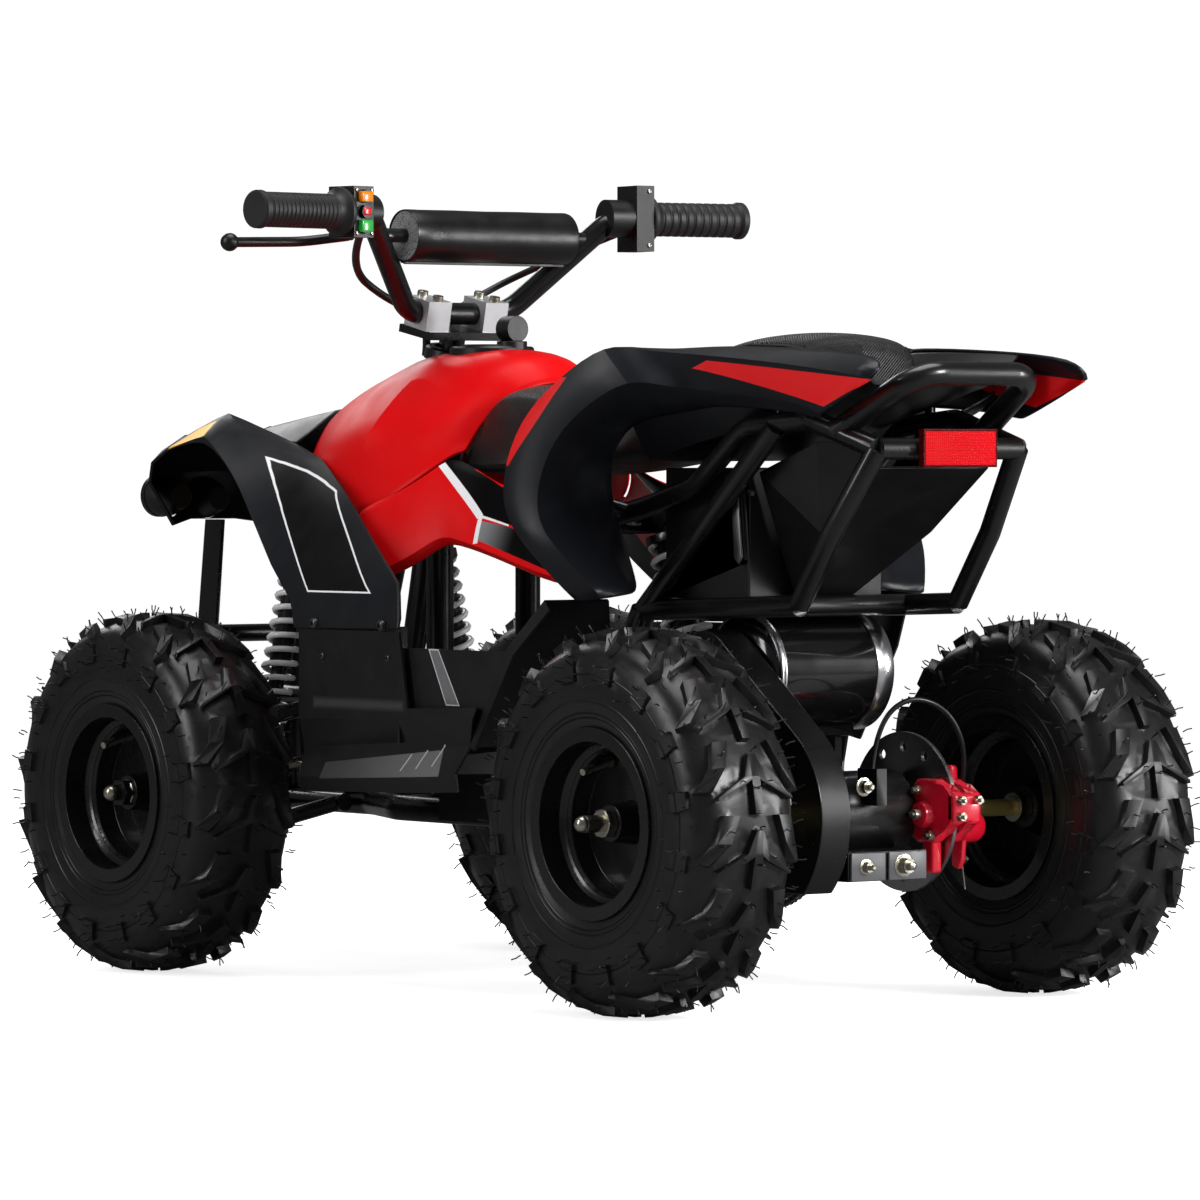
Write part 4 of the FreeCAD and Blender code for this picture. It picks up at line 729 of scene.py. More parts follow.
def slab(bm, place, outline, ends, radius=0.0, segments=3, material=0):
    """A plate with rounded edges: place(end, *corner) says where each corner lies at each end."""
    near, far = ([bm.verts.new(place(end, *corner)) for corner in outline] for end in ends)
    faces = [bm.faces.new(near), bm.faces.new(far[::-1])]
    for k in range(len(outline)):
        n = (k + 1) % len(outline)
        faces.append(bm.faces.new((near[k], far[k], far[n], near[n])))
    for face in faces:
        face.material_index = material
    if radius:
        edges = list({edge for face in faces for edge in face.edges})
        bmesh.ops.bevel(bm, geom=edges, offset=radius * MM, segments=segments, profile=0.5,
                        affect="EDGES", material=-1, clamp_overlap=True)


def finished(bm, name, body, slot_name, materials=None, sharp=35.0):
    """Normals made good, then the piece put in place on its body, in the finish of its slot unless other
    materials are given.
    """
    bmesh.ops.recalc_face_normals(bm, faces=bm.faces)
    piece = put(bm, name, body, materials or [FINISH[slot_name]], sharp)
    return piece


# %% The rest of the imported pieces, some with a second material


def add_material(piece, material, choose):
    """A second material on the faces that a test on their middle and normal picks."""
    piece.data.materials.append(material)
    index = len(piece.data.materials) - 1
    for polygon in piece.data.polygons:
        if choose((polygon.center - AXLE) / MM, polygon.normal):
            polygon.material_index = index


def all_but_coil(top, foot, coil_radius):
    """Picks what is not coil: the damper inside it, the cups and the eyes."""
    wire_width, cup_length = 7.4, 31

    def choose(place, normal):
        side = 1 if place.x > 0 else -1
        start, end = (Vector((side * x, y, z)) for x, y, z in (top, foot))
        line = (end - start).normalized()
        along = (place - start).dot(line)
        off = (place - start - line * along).length
        clear_of_cups = cup_length < along < (end - start).length - cup_length
        return not (off > coil_radius - wire_width and clear_of_cups)
    return choose


SPECIAL = {"footwell_left": foot_paint, "footwell_right": foot_paint, "nose_mask": mask_paint}
SERIES = {"tyre": (1.0, 34.0), "shock": (0.5, 68.0)}
WIDTHS = {"chain_cover": 5.0, "motor": 2.0, "grab_bar": 0.4, "switch_box": 2.0, "throttle_housing": 3.0,
          "seat": 1.0, "swing_arm": 1.5, "key_switch": 1.5, "battery_box": 3.0, "headlamps": 1.5}
SECOND = {"front_shocks": ("frame_paint", all_but_coil((80, FRONT - 4, 256), (146, FRONT, -14), 18.5)),
          "rear_shock": ("frame_paint", all_but_coil((0, -262, 278), (0, -205, 60), 25)),
          "rear_axle": ("yellow_zinc", lambda place, normal: abs(place.x) < 176 and place.yz.length < 22),
          "headlamps": ("box_plastic", lambda place, normal: normal.y > -0.5),
          "steering_column": ("clamp_alloy", lambda place, normal: place.z > 462 and abs(place.x) > 15)}
DRAWN = {"tank_cover", "side_panels", "rear_fender_left", "rear_fender_right", "brake_caliper",
         "drive_chain", *MOULDED}
SOFT = {"seat", "bar_pad", "grip_left", "grip_right", "bar_cables", "brake_cable"}
for node in frame["nodes"]:
    if node in DRAWN or node in SOFT:
        continue
    own = (WIDTHS.get(node, 0.8), 30.0)
    piece = dressed(node, *next((rounds for word, rounds in SERIES.items() if word in node), own))
    if node in SPECIAL:
        piece.data.materials[0] = SPECIAL[node]
    if node in SECOND:
        finish, choose = SECOND[node]
        add_material(piece, FINISH[finish], choose)

# %% [markdown]
# ## Tyres: rubber hairs and moulded rings
# A new tyre keeps the hairs of rubber that filled the mould's vents. They stand on the lugs and the
# shoulders, 1.3 mm thick and 6 to 10 mm long, and none reach the ground. The flank has a few fine rings
# round the bead.

# %% Rings on the flank, and hairs
WHEELS = {"rear_tyre_left": (240, 0), "rear_tyre_right": (-240, 0), "front_tyre_left": (265, FRONT),
          "front_tyre_right": (-265, FRONT)}
HAIR_SPOTS = ((0, 2), (0, -30), (16, -24), (34, -30), (30, 0), (40, -14), (52, -30), (50, 12), (70, -26),
              (70, -42), (82, -24), (82, -46), (62, 4), (88, -10))
CARCASS = ((0, 0), (28, 1.0), (43, 5.5), (53, 14.0), (58, 27.0), (60, 44.0), (59, 62.0))
CROWN = 170.0
PITCHES = 16
TREAD_LUG, SHOULDER_LUG, SHOULDER_STARTS = 7.0, 3.5, 60
HAIR_RADIUS, HAIR_LENGTH, HAIR_VARIES, HAIR_BENDS = 0.65, 8.0, 2.0, 0.8
CLEAR_OF_FLOOR = 5
RING_HEIGHT = 0.0012


def ringed_rubber():
    """Raised rings round the wheel's axis, whichever axle is nearer."""
    material = FINISH["tyre_rubber"]
    along, height = coordinate(material, "Y"), coordinate(material, "Z")
    rear, front, up = (math_node(material, "ABSOLUTE", math_node(material, "SUBTRACT", value, middle))
                       for value, middle in ((along, AXLE.y), (along, AXLE.y + FRONT * MM), (height, AXLE.z)))
    flat = math_node(material, "MINIMUM", rear, front)
    squares = (math_node(material, "POWER", value, 2.0) for value in (flat, up))
    radius = math_node(material, "SQRT", math_node(material, "ADD", *squares))
    for place, width in ((97, 1.2), (101, 1.0), (112, 1.6), (136, 1.0)):
        off = math_node(material, "ABSOLUTE", math_node(material, "SUBTRACT", radius, place * MM))
        slope = math_node(material, "DIVIDE", off, width * MM)
        add_bump(material, math_node(material, "SUBTRACT", 1.0, slope, clamp=True), RING_HEIGHT)


def tread_place(out, along, height, start):
    """A place and a direction on the tread, as the part lays its lugs."""
    left = abs(out)
    for (x0, drop0), (x1, drop1) in zip(CARCASS, CARCASS[1:]):
        step = math.hypot(x1 - x0, drop1 - drop0)
        if left <= step:
            break
        left -= step
    share = left / step
    lean, rise = (drop1 - drop0) / step, (x1 - x0) / step
    x = math.copysign(x0 + (x1 - x0) * share + height * lean, out or 1)
    radius = CROWN - drop0 - (drop1 - drop0) * share + height * rise
    angle = start + along / CROWN
    outward = Vector((math.copysign(lean, out or 1), -rise * math.sin(angle), rise * math.cos(angle)))
    return Vector((x, -radius * math.sin(angle), radius * math.cos(angle))), outward


def hairs(node, x, y):
    """Hairs that lean each its own way, by sines of their number."""
    bm = bmesh.new()
    ground = -TYRE_RADIUS / MM
    for pitch in range(PITCHES):
        start = 2 * math.pi * pitch / PITCHES
        for spot, (out, along) in enumerate(HAIR_SPOTS):
            for side in (1, -1):
                lug = TREAD_LUG if abs(out) < SHOULDER_STARTS else SHOULDER_LUG
                place, outward = tread_place(side * out, along, lug, start)
                phase = pitch * 2.3 + spot * 1.7 + side
                lean = outward + Vector((0.3 * math.sin(phase), 0.35 * math.cos(phase * 1.3),
                                         0.3 * math.sin(phase * 0.7)))
                tip = place + lean.normalized() * (HAIR_LENGTH + HAIR_VARIES * math.sin(phase * 3.1))
                if tip.z < ground + CLEAR_OF_FLOOR or place.z < ground + CLEAR_OF_FLOOR - 1:
                    continue
                bend = Vector((math.sin(phase * 2), 0, math.cos(phase * 2))) * HAIR_BENDS
                bent = place.lerp(tip, 0.5) + bend
                sweep(bm, [at(x, y, 0) + spot_place * MM for spot_place in (place, bent, tip)],
                      HAIR_RADIUS, 5)
    finished(bm, node + "_hairs", BODY_OF[node], "tyre_rubber")


ringed_rubber()
for node, (x, y) in WHEELS.items():
    hairs(node, x, y)

# %% [markdown]
# ## Motor, brake and chain
# The drive is open to view from behind, so each piece there is drawn as it works: bright rolled bands at
# the ends of the motor, a cast caliper with its lever and cable, and a roller chain link by link.

# %% Bright bands and a domed end on the motor
MOTOR = (-75, 131)


def lathe_piece(name, body, slot_name, turns, materials=None, steps=48):
    """Several turned shapes in one piece: (place, direction, profile) each, in mm."""
    bm = bmesh.new()
    for place, direction, profile in turns:
        turn(bm, at(*place), direction, profile, steps)
    return finished(bm, name, body, slot_name, materials)


brushed = surface("brushed_band", (0.62, 0.62, 0.64), 0.24, metallic=1.0, grain=300, grain_height=0.00001)
WIDE_BAND = ((0, 53), (0, 55.6), (1.2, 56.4), (19, 56.4), (20, 55.8), (20, 54))
DOUBLE_RING = ((0, 54), (0, 56), (1.4, 57), (3, 57), (3.8, 55.8), (4.6, 55.8), (5.4, 57), (7, 57),
               (8, 56), (8, 50))
DOMED_END = ((0, 53.5), (2, 53), (5, 50), (8, 44), (10.5, 34), (11.5, 20))
lathe_piece("motor_bands", BODY_OF["motor"], "motor_paint",
            (((-79.5, *MOTOR), (1, 0, 0), WIDE_BAND), ((49, *MOTOR), (1, 0, 0), DOUBLE_RING)), [brushed], 72)
lathe_piece("motor_dome", BODY_OF["motor"], "motor_paint",
            (((56, *MOTOR), (1, 0, 0), DOMED_END),), steps=64)

# %% The caliper
CALIPER_HALF = ((28, -20), (28, 22), (36, 33), (64, 33), (74, 24), (91, 22), (92, -8), (74, -12), (62, -27),
                (36, -27))
LEVER = ((40, 4), (42, -50), (52, -53), (57, -44), (62, 2), (52, 10))
CASTINGS = ((CALIPER_HALF, -72.3, -59, 4), (CALIPER_HALF, -93, -79.8, 4),
            (((80, -8), (80, 22), (92, 20), (92, -6)), -93, -59, 3.5),
            (((44, -20), (44, -55), (60, -55), (60, -20)), -72, -60, 3), (LEVER, -103.2, -97.5, 2),
            (((41, 26), (41, 45), (57, 45), (57, 26)), -94, -84, 3))
CALIPER_NUTS = (((-59, 42, 22), (1, 0, 0), 5), ((-59, 60, -19), (1, 0, 0), 5),
                ((-50.6, 50, 0), (1, 0, 0), 5.5), ((-66, 91.5, 14), (0, 1, 0), 4.6),
                ((-86, 91.5, 14), (0, 1, 0), 4.6), ((-66, 91.5, -1), (0, 1, 0), 4.6),
                ((-103, 48, -44), (-1, 0, 0), 5), ((-103, 51, 0), (-1, 0, 0), 5))


def make_caliper():
    bm = bmesh.new()
    for outline, low, high, radius in CASTINGS:
        slab(bm, at, outline, (low, high), radius)
    turn(bm, at(-93, 50, -13), (-1, 0, 0),
         ((-2, 14), (4, 14), (5, 15.5), (24, 15), (28, 13.5), (31, 11), (31.5, 6)), 40)
    turn(bm, at(-59, 50, 0), (1, 0, 0), ((-2, 13), (3, 13), (5, 11.5), (8, 11), (8.5, 9)), 40)
    piece = finished(bm, "caliper_castings", BODY_OF["brake_caliper"], "caliper_red", sharp=45)
    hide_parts("brake_caliper")
    bm = bmesh.new()
    for place, direction, radius in CALIPER_NUTS:
        hex_nut(bm, at(*place), direction, radius, 6)
        turn(bm, at(*place), direction, ((5, radius * 0.5), (8.5, radius * 0.5), (9, radius * 0.38)), 20)
    turn(bm, at(-97.6, 52, 3), (0, 0.2, 1),
         ((-2, 4.4), (0, 4.6), (7, 4.6), (8, 3.4), (13, 3.4), (13.6, 3)), 24)
    inner_wire = ((-97.4, 50, 2), (-100, 49.4, -8), (-106, 47, -30), (-106, 47, -43), (-108, 50, -72))
    sweep(bm, [at(*place) for place in inner_wire], 0.9, 8)
    finished(bm, "caliper_bolts", BODY_OF["brake_caliper"], "zinc")


make_caliper()

# %% The carrier's plates and bolts
bm = bmesh.new()
for x0, x1 in ((9, 50), (-40, 5)):
    slab(bm, lambda push, x, z: at(x, 72.1, z) + Vector((0, push, 0)) * MM,
         ((x0, -58), (x1, -58), (x1, -32), (x0, -32)), (0, 3), 1.2, 2)
grey_steel = surface("grey_steel", (0.09, 0.09, 0.095), 0.4, grain=1400)
finished(bm, "carrier_plates", BODY_OF["swing_arm"], "frame_paint", [grey_steel])
bm = bmesh.new()
for place, radius in (((33, 75, -45), 5.5), ((-12, 75, -45), 8.0), ((22, 58, 28), 6.5)):
    seat = at(*place)
    turn(bm, seat, (0, 1, 0), ((-0.5, radius * 1.35), (0.8, radius * 1.35), (1.1, radius * 1.2)), 28)
    seat = seat + Vector((0, 1, 0)) * MM
    hex_nut(bm, seat, (0, 1, 0), radius, radius)
    turn(bm, seat, (0, 1, 0), ((radius - 1, radius * 0.5), (radius + 5, radius * 0.5),
                               (radius + 6, radius * 0.3)), 20)
finished(bm, "carrier_bolts", BODY_OF["swing_arm"], "zinc")

# %% The chain, link by link
SPROCKET, PINION, CHAIN_X = 82.0, 20.0, 86.0
LINKS = 96
ROLLER = ((0, 1.2), (0, 1.6), (1.6, 1.6), (1.6, 2.4), (6.8, 2.4), (6.8, 1.6), (8.4, 1.6), (8.4, 1.2))
PLATE_THICKNESS = 0.9


def chain_path(count):
    """Places evenly spaced round the sprocket and the pinion, as (y, z)."""
    distance, line = math.hypot(*MOTOR), math.atan2(MOTOR[1], MOTOR[0])
    opening = math.acos((SPROCKET - PINION) / distance)
    run = math.sqrt(distance ** 2 - (SPROCKET - PINION) ** 2)

    def rim(centre, radius, angle):
        return centre[0] + radius * math.cos(angle), centre[1] + radius * math.sin(angle)

    def straight(angle, share):
        (y0, z0), (y1, z1) = rim((0, 0), SPROCKET, angle), rim(MOTOR, PINION, angle)
        return y0 * (1 - share) + y1 * share, z0 * (1 - share) + z1 * share

    legs = (((2 * math.pi - 2 * opening) * SPROCKET,
             lambda s: rim((0, 0), SPROCKET, line + opening + s / SPROCKET)),
            (run, lambda s: straight(line - opening, s / run)),
            (2 * opening * PINION, lambda s: rim(MOTOR, PINION, line - opening + s / PINION)),
            (run, lambda s: straight(line + opening, 1 - s / run)))
    for k in range(count):
        s = sum(length for length, _ in legs) * k / count
        for length, place in legs:
            if s < length:
                yield place(s)
                break
            s -= length


def make_chain():
    bm = bmesh.new()
    links = list(chain_path(LINKS))
    for k, here in enumerate(links):
        turn(bm, at(CHAIN_X - 4.2, *here), (1, 0, 0), ROLLER, 10)
        following = links[(k + 1) % LINKS]
        ahead = Vector((0, following[0] - here[0], following[1] - here[1]))
        reach, ahead = ahead.length, ahead.normalized()
        square = Vector((0, -ahead.z, ahead.y))
        half = ((-2.4, 1.4), (-1.4, 2.6), (1.4, 2.6), (reach / 2, 1.9), (reach - 1.4, 2.6),
                (reach + 1.4, 2.6), (reach + 2.4, 1.4))
        outline = [(a, -b) for a, b in half] + [(a, b) for a, b in reversed(half)]
        gap = 2.0 if k % 2 else 2.9
        for ends in ((CHAIN_X - gap - PLATE_THICKNESS, CHAIN_X - gap),
                     (CHAIN_X + gap, CHAIN_X + gap + PLATE_THICKNESS)):
            slab(bm, lambda x, a, b: at(x, *here) + (ahead * a + square * b) * MM, outline, ends)
    piece = finished(bm, "roller_chain", BODY_OF["drive_chain"], "chain_steel")
    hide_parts("drive_chain")


make_chain()

# %% Acorn caps, washers and valves on the wheels
ACORN = ((-1, 7.6), (0, 7.8), (3, 7.6), (6.5, 5.6), (8, 3.0), (8.3, 1.0))
WASHER = ((-2, 13), (0, 13), (0.8, 12), (0.8, 10))
VALVE = ((-2, 6), (0, 6), (4, 4.5), (10, 3.6), (24, 3.4), (25, 3.9), (33, 3.9), (34, 3.2))
VALVE_ANGLE, VALVE_RADIUS = math.radians(118), 62
bm_by_body = {}
for node, (x, y) in WHEELS.items():
    side = 1 if x > 0 else -1
    cap, washer = (63, 43) if "rear" in node else (51, 35)
    bm = bm_by_body.setdefault(BODY_OF[node], bmesh.new())
    turn(bm, at(x + side * cap, y, 0), (side, 0, 0), ACORN, 28)
    turn(bm, at(x + side * washer, y, 0), (side, 0, 0), WASHER, 36)
    place = at(x + side * 12, y + VALVE_RADIUS * math.cos(VALVE_ANGLE), VALVE_RADIUS * math.sin(VALVE_ANGLE))
    turn(bm, place, (side * 0.9, 0.1, -0.25), VALVE, 20)
for body, bm in bm_by_body.items():
    finished(bm, "wheel_nuts_" + body, body, "zinc")
print("drive and wheels done")

# %% [markdown]
# ## Small fittings on the body
# Button bolts hold the plastic to its brackets, and a steel latch hangs beside the battery box. The four
# lamps have fluted lenses in dark bezels, and the reflector is a field of small prisms in a plain rim.

# %% Button bolts and latch
bolts = bmesh.new()
for side in (1, -1):
    for x, y, z, radius in ((241, -510, 171, 5.4), (241, -399, 171, 5.4), (238, -500, 140, 3.4),
                            (238, -392, 140, 3.4)):
        dome_bolt(bolts, at(side * x, y, z), (side, 0, 0), radius)
finished(bolts, "button_bolts", BODY_OF["footwell_left"], "frame_paint",
         [surface("dark_bolt", (0.09, 0.09, 0.085), 0.3, metallic=0.8)])

bm = bmesh.new()
latch_outline = ((-58, 309), (-48, 309), (-41, 240), (-46, 232), (-53, 238))
slab(bm, at, latch_outline, (84.2, 87), 1.2)
turn(bm, at(84.2, -54, 313), (1, 0, 0), ((-0.5, 5), (1, 5), (1.6, 4), (6, 4), (6.6, 3.2)), 24)
for y, z in ((-66, 311), (-34, 300)):
    hex_nut(bm, at(80.2, y, z), (1, 0, 0), 4.4, 4)
finished(bm, "latch_lever", BODY_OF["battery_box"], "zinc",
         [surface("latch_steel", (0.3, 0.3, 0.31), 0.36, metallic=1.0)])
print("bolts and latch done")

# %% Lenses, bezels and reflector
BEZEL = ((-5, 21.2), (-5, 21.8), (1.4, 21.8), (2.6, 20.8), (2.6, 19.2), (0.2, 18.2))
LENS = ((0.1, 18.4), (1.4, 17), (2.6, 13), (3.3, 7), (3.5, 1))
lens_glass = surface("lens_glass", (0.5, 0.52, 0.55), 0.1, grain_height=0, coat=0.8)
add_bump(lens_glass, ridges(lens_glass, coordinate(lens_glass, "X"), 2.2), 0.0007)
bezels, lenses = bmesh.new(), bmesh.new()
for x, y, z in ((140, FRONT - 177.8, 292), (86, FRONT - 188, 290)):
    for side in (1, -1):
        place = at(side * x, y, z)
        turn(bezels, place, (0, -1, 0), BEZEL, 48, hollow=True)
        turn(lenses, place, (0, -1, 0), LENS, 40)
finished(bezels, "lamp_bezels", BODY_OF["headlamps"], "control_plastic")
finished(lenses, "lamp_lenses", BODY_OF["headlamps"], "lamp", [lens_glass])

prisms = FINISH["reflector_red"]
low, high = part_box("reflector")
cells = math_node(prisms, "MULTIPLY", *(ridges(prisms, coordinate(prisms, axis), 2.4) for axis in "XZ"))
add_bump(prisms, cells, 0.0006)
shader_of(prisms).inputs["Base Color"].default_value = (0.8, 0.006, 0.008, 1)
# Painted shade: the grooves between the prisms are painted a darker red.
valley_shade = math_node(prisms, "SUBTRACT", 1.0, math_node(prisms, "MULTIPLY", cells, 3.0), clamp=True)
paint(prisms, valley_shade, (0.35, 0.0, 0.002))
RIM_WIDTH = 2.2 * MM
for axis, k in (("X", 0), ("Z", 2)):
    from_middle = math_node(prisms, "SUBTRACT", coordinate(prisms, axis), (low[k] + high[k]) / 2)
    off = math_node(prisms, "ABSOLUTE", from_middle)
    paint(prisms, step_up(prisms, off, (high[k] - low[k]) / 2 - RIM_WIDTH), (0.06, 0.0, 0.001))
print("fittings done")

# %% [markdown]
# ## The saddle
# The saddle is a long pad that narrows between the knees and rises at the tail. Its cross-section is
# drawn once, as offsets from the half width and the height at each station, and skinned along the
# stations. A piped seam runs round the shoulder, with a row of stitches beside it, and the cover has the
# small diamond weave of a grip fabric.

# %% The saddle's cover
# Each station: along the vehicle, half width, underside, top, half width at the underside.
STATIONS = ((-488, 66, 322, 358, 80), (-478, 71, 318, 366, 86), (-462, 76, 315, 377, 91),
            (-446, 79, 314, 388, 93), (-430, 82, 313, 396, 94), (-410, 86, 313, 401, 96),
            (-380, 88, 315, 402, 97), (-340, 90, 319, 397, 97), (-290, 91, 325, 391, 96),
            (-235, 93, 329, 391, 95), (-190, 95, 331, 399, 95), (-150, 95, 336, 410, 95),
            (-110, 90, 345, 428, 90), (-75, 84, 353, 441, 84), (-40, 79, 361, 446, 79),
            (0, 71, 371, 445, 71), (22, 67, 377, 442, 67), (30, 64, 379, 434, 64))
WEAVE_PITCH = 3.4
SECTION = ((-0.9, 0, 0), (-1, 0, 7), (-1.01, 0.5, 0), (-1, 1, -19), (-0.965, 1, -11), (-0.86, 1, -4),
           (-0.6, 1, 0), (-0.3, 1, 2.2), (0, 1, 3))


def seat_ring(y, half, low, top, foot):
    """One cross-section: share of the half width, share of the height, and mm on top of that."""
    left = [((foot + (half - foot) * b) * a, y, low + (top - low) * b + c) for a, b, c in SECTION]
    return left + [(-x, y, z) for x, y, z in reversed(left[:-1])]


def seat_weave():
    """Raised diamonds, whose rows run on from the top down the sides."""
    material = surface("seat_weave", BLACK, 0.4, grain=900)
    across = math_node(material, "SUBTRACT", math_node(material, "ABSOLUTE", coordinate(material, "X")),
                       coordinate(material, "Z"))
    along = coordinate(material, "Y")
    waves = (ridges(material, math_node(material, operation, along, across), WEAVE_PITCH)
             for operation in ("ADD", "SUBTRACT"))
    add_bump(material, math_node(material, "MINIMUM", *waves), 0.0007, 0.8)
    return material


def make_seat():
    bm = bmesh.new()
    rings = [[bm.verts.new(at(*place)) for place in seat_ring(*station)] for station in STATIONS]
    count = len(rings[0])
    creases = bm.edges.layers.float.new("crease_edge")
    join_rings(bm, rings)
    for ring, following in zip(rings, rings[1:]):
        for k in (4, count - 5):
            bm.edges.get((ring[k], following[k]))[creases] = 0.5
    for ring in (rings[0], rings[-1]):
        for k in range(count):
            bm.edges.get((ring[k], ring[(k + 1) % count]))[creases] = 0.35
    piece = finished(bm, "saddle", BODY_OF["seat"], "seat_cover", [seat_weave()], 60)
    smoothed(piece, "stuffed_form")
    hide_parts("seat")


make_seat()

# %% Piping and stitches round the saddle
STITCH_PITCH = 6.0
SEAM_SHARE, SEAM_DROP = 0.975, 11


def seam_places(offset, rise):
    """The shoulder seam on one side, from the tank to the tail, moved in by an offset."""
    return [(half * SEAM_SHARE - offset, y, top - SEAM_DROP + rise)
            for y, half, low, top, foot in STATIONS[7:-1]]


bm = bmesh.new()
for side in (1, -1):
    sweep(bm, [at(side * x, y, z) for x, y, z in seam_places(0, 0.5)], 1.7, 8)
    for offset, rise in ((5, 3.2), (-1.2, -6)):
        path = seam_places(offset, rise)
        for (x0, y0, z0), (x1, y1, z1) in zip(path, path[1:]):
            start, end = at(side * x0, y0, z0), at(side * x1, y1, z1)
            count = max(1, round((end - start).length / (STITCH_PITCH * MM)))
            for k in range(count):
                here, there = start.lerp(end, (k + 0.2) / count), start.lerp(end, (k + 0.75) / count)
                sweep(bm, (here, there), 0.45, 5)
piping = finished(bm, "saddle_piping", BODY_OF["seat"], "seat_cover")
print("saddle", len(piping.data.polygons), "faces of piping and stitches")

# %% [markdown]
# ## Handlebar, pad and grips
# The bar's places follow from the steering column, so they are worked out once here. The pad is a roll
# of foam in shiny vinyl, closed along its underside by a flap, with grey speckled foam showing at its
# ends. The grips are ribbed rubber with a flange that keeps the hand off the controls.

# %% Places on the bar
COLUMN_FOOT = Vector((0, FRONT + 54.5, 60))
COLUMN_TOP = Vector((0, FRONT + 140, 452))
COLUMN_UP = (COLUMN_TOP - COLUMN_FOOT).normalized()
BAR_MIDDLE = COLUMN_TOP + COLUMN_UP * 23
BAR_KNEE = Vector((150, BAR_MIDDLE.y + 60, BAR_MIDDLE.z + 96))
BAR_END = Vector((296, BAR_MIDDLE.y + 80, BAR_MIDDLE.z + 96))
BAR_LOW = Vector((60, BAR_MIDDLE.y, BAR_MIDDLE.z))
CROSS = BAR_LOW.lerp(BAR_KNEE, 0.78)


def on_bar(side, inward, out=0.0, rise=0.0):
    """A place on the bar's straight end, measured in from its tip, then out to the rider and up."""
    axis = (BAR_KNEE - BAR_END).normalized()
    back = Vector((axis.y, -axis.x, 0))
    place = BAR_END + axis * inward + back * out + Vector((0, 0, rise))
    return at(side * place.x, place.y, place.z)


def bar_axis(side):
    return (on_bar(side, 1) - on_bar(side, 0)).normalized()


def bar_back(side):
    return (on_bar(side, 0, 1) - on_bar(side, 0)).normalized()


print("cross bar at", tuple(round(v, 1) for v in CROSS), "bar back", bar_back(1))

# %% The boot between the tank and the column, and its disc on the tank
BOOT = ((-10, 18.5), (-10, 27), (1, 26), (3, 23.5), (3, 18.5))
BOOT_DISC = ((-6, 42), (3, 42), (5, 40), (5, 31), (7, 30), (7, 12))
bm = bmesh.new()
turn(bm, at(*COLUMN_FOOT.lerp(COLUMN_TOP, 0.965)), COLUMN_UP, BOOT, 40, hollow=True)
turn(bm, at(0, -546, 436), (0, 0, 1), BOOT_DISC, 56)
boot = finished(bm, "column_boot", BODY_OF["tank_cover"], "control_plastic")
print("boot", len(boot.data.polygons), "faces")

# %% The bar pad
PAD_HALF = 100
PAD_BORE = 7.6
PAD_ROLL = ((2.5, PAD_BORE), (2.5, 24.2), (1.2, 24.8), (1.0, 25.6), (3, 26.1), (20, 25.8), (60, 26.0),
            (100, 25.6), (140, 26.0), (180, 25.8), (197, 26.1), (199, 25.6), (198.8, 24.8), (197.5, 24.2),
            (197.5, PAD_BORE))
FLAP_INSET = 3


def speckled_foam():
    material = surface("speckled_foam", (0.3, 0.3, 0.31), 0.8, grain=700, grain_height=0.0003)
    spots = step_up(material, cloud(material, 900.0), 0.56, 0.05)
    paint(material, spots, (0.02, 0.02, 0.02))
    return material


def vinyl():
    material = surface("pad_vinyl", BLACK, 0.32, grain=1400, grain_height=0.00003)
    add_bump(material, cloud(material, 34.0), 0.0012, 0.5)
    return material


bm = bmesh.new()
turn(bm, at(-PAD_HALF, CROSS.y, CROSS.z), (1, 0, 0), PAD_ROLL, 64)
for angle, width, lift in ((-112, 9, 26.6), (-96, 5, 27.3)):
    out = Vector((0, math.cos(math.radians(angle)), math.sin(math.radians(angle))))
    along = Vector((0, -out.z, out.y))
    slab(bm, lambda x, w, h: at(x, CROSS.y, CROSS.z) + (out * (lift + h) + along * w) * MM,
         ((-width, -2.2), (-width, 0), (width, 0), (width, -2.2)),
         (-PAD_HALF + FLAP_INSET, PAD_HALF - FLAP_INSET))
foam, cover = speckled_foam(), vinyl()
bm.normal_update()
# The ends of the roll, 2.5 mm in from its rims, show the foam.
for face in bm.faces:
    middle_x = face.calc_center_median().x / MM
    if abs(middle_x) > PAD_HALF - 4 and abs(face.normal.x) > 0.9 and abs(middle_x) < PAD_HALF - 1.5:
        face.material_index = 1
pad = finished(bm, "bar_pad_roll", BODY_OF["bar_pad"], "pad_cover", [cover, foam])
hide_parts("bar_pad")

# %% The grips
GRIP_LENGTH = 110
RIBS_END = GRIP_LENGTH - 12


def ribs(start, end, high, low, pitch):
    """A profile of round ribs between two distances."""
    rib = ((0, low), (0.18, high), (0.72, high), (0.9, low))
    return [(start + pitch * (k + share), radius)
            for k in range(int((end - start) / pitch)) for share, radius in rib]


for side, name in ((1, "left"), (-1, "right")):
    bm = bmesh.new()
    profile = [(-4, 9), (-4, 17), (-2.5, 18.6), (3, 18.8), (5, 17.4)]
    profile += ribs(7, RIBS_END, 17.2, 16.2, 5.5 if side > 0 else 9.0)
    profile += [(RIBS_END, 16.8), (GRIP_LENGTH - 8, 19.5), (GRIP_LENGTH - 5, 23.6), (GRIP_LENGTH - 2, 24),
                (GRIP_LENGTH, 23.2), (GRIP_LENGTH, 11.2)]
    turn(bm, on_bar(side, 0), bar_axis(side), profile, 48)
    piece = finished(bm, "grip_sleeve_" + name, BODY_OF["grip_" + name], "grip_rubber")
    round_edges(piece, 0.5, 30)
    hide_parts("grip_" + name)
print("grips", GRIP_LENGTH, "mm")

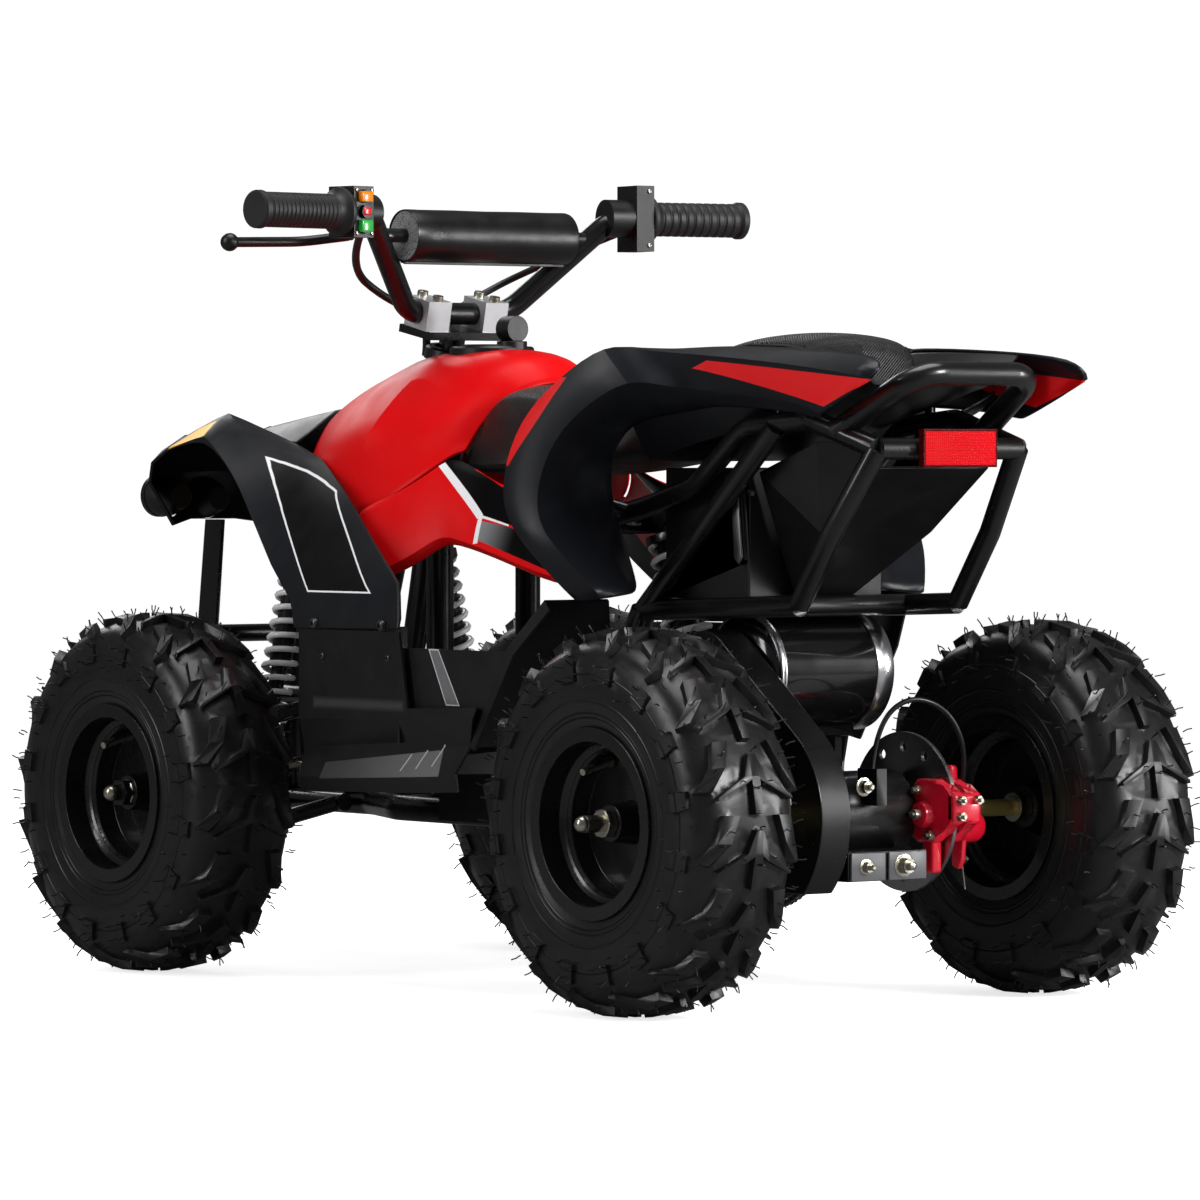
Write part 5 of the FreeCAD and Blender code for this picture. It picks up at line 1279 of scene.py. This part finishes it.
# %% Push buttons, and the bolts of the clamps and controls
LIT = {"amber": (0.8, 0.22, 0.0), "red": (0.6, 0.01, 0.01), "green": (0.02, 0.35, 0.05)}
button_materials = [surface("button_" + name, colour, 0.25, coat=0.5) for name, colour in LIT.items()]
bm = bmesh.new()
BUTTON_INWARD, BUTTON_OUT = 123.3, (20.8 - 3.4, 20.8 + 3.4)
for k, (rise, wide, tall) in enumerate(((14.5, 7.6, 5.2), (0.5, 5.2, 4.0), (-14, 7.6, 6.0))):
    slab(bm, lambda out, a, b: on_bar(1, BUTTON_INWARD + wide * a, out, rise + tall * b),
         ((-1, -1), (1, -1), (1, 1), (-1, 1)), BUTTON_OUT, 1.5, material=k)
finished(bm, "push_buttons", BODY_OF["switch_box"], "control_plastic", button_materials)

bm = bmesh.new()
clamp_back = Vector((0, COLUMN_UP.z, -COLUMN_UP.y))
CLAMP_SCREW = ((-1, 5.5), (5, 5.5), (5.6, 5.0), (5.6, 3.4, 6), (2.6, 3.3, 6))
for x, fore in ((35, -13), (35, 13), (-35, -13), (-35, 13)):
    spot = COLUMN_TOP + COLUMN_UP * 38 + Vector((x, 0, 0)) + clamp_back * fore
    turn(bm, at(*spot), COLUMN_UP, CLAMP_SCREW, 24)
for inward, rise in ((114, 21), (114, -21), (134, 21), (134, -21)):
    dome_bolt(bm, on_bar(1, inward, 18, rise), bar_back(1), 2.2)
for rise in (27, -27):
    dome_bolt(bm, on_bar(-1, 116, 20, rise), bar_back(-1), 2.6)
finished(bm, "control_bolts", BODY_OF["handlebar"], "zinc")
print("controls done")

# %% [markdown]
# ## Cables
# A cable is a curve of its own length: it leaves its housing straight, bends no tighter than its jacket
# allows and goes back into the vehicle. Each is one smooth spline along the route that its solid has.

# %% The cables at the bar and at the brake


def cable(name, node, route, radius, exit_place, material):
    curve = bpy.data.curves.new(name, "CURVE")
    curve.dimensions = "3D"
    spline = curve.splines.new("NURBS")
    spline.points.add(len(route) - 1)
    for point, place in zip(spline.points, route):
        point.co = (*place, 1.0)
    spline.order_u = 3
    spline.use_endpoint_u = True
    spline.resolution_u = 16
    curve.bevel_depth = radius * MM
    curve.bevel_resolution = 4
    curve.use_fill_caps = True
    curve.materials.append(material)
    piece = bpy.data.objects.new(name, curve)
    bpy.context.scene.collection.objects.link(piece)
    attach(piece, BODY_OF[node])
    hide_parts(node)
    length = sum((b - a).length for a, b in zip(route, route[1:]))
    tuple(exit_place)


gland = COLUMN_FOOT.lerp(COLUMN_TOP, 0.935) + Vector((0, -COLUMN_UP.z, COLUMN_UP.y)) * 30
for side, radius, inward, name in ((1, 4.0, 143, "brake_lead"), (-1, 3.5, 140, "throttle_lead")):
    foot = gland + Vector((side * 9, 0, 0))
    above = foot + COLUMN_UP * 40
    route = [on_bar(side, inward) + Vector((0, -6, -16)) * MM,
             at(side * 112, BAR_MIDDLE.y - 30, BAR_MIDDLE.z + 46),
             at(side * 52, BAR_MIDDLE.y - 48, BAR_MIDDLE.z + 14), at(*above), at(*foot)]
    cable(name, "bar_cables", route, radius, route[0], FINISH["cable_jacket"])
BRAKE_ROUTE = ((0, 44, 44), (-4, 46, 84), (-32, 58, 112), (-72, 70, 98), (-99, 66, 50), (-98.5, 51, 6))
brake_route = [at(*place) for place in BRAKE_ROUTE]
cable("brake_cable_run", "brake_cable", brake_route, 2.5, brake_route[0], FINISH["cable_jacket"])
print("cables done")
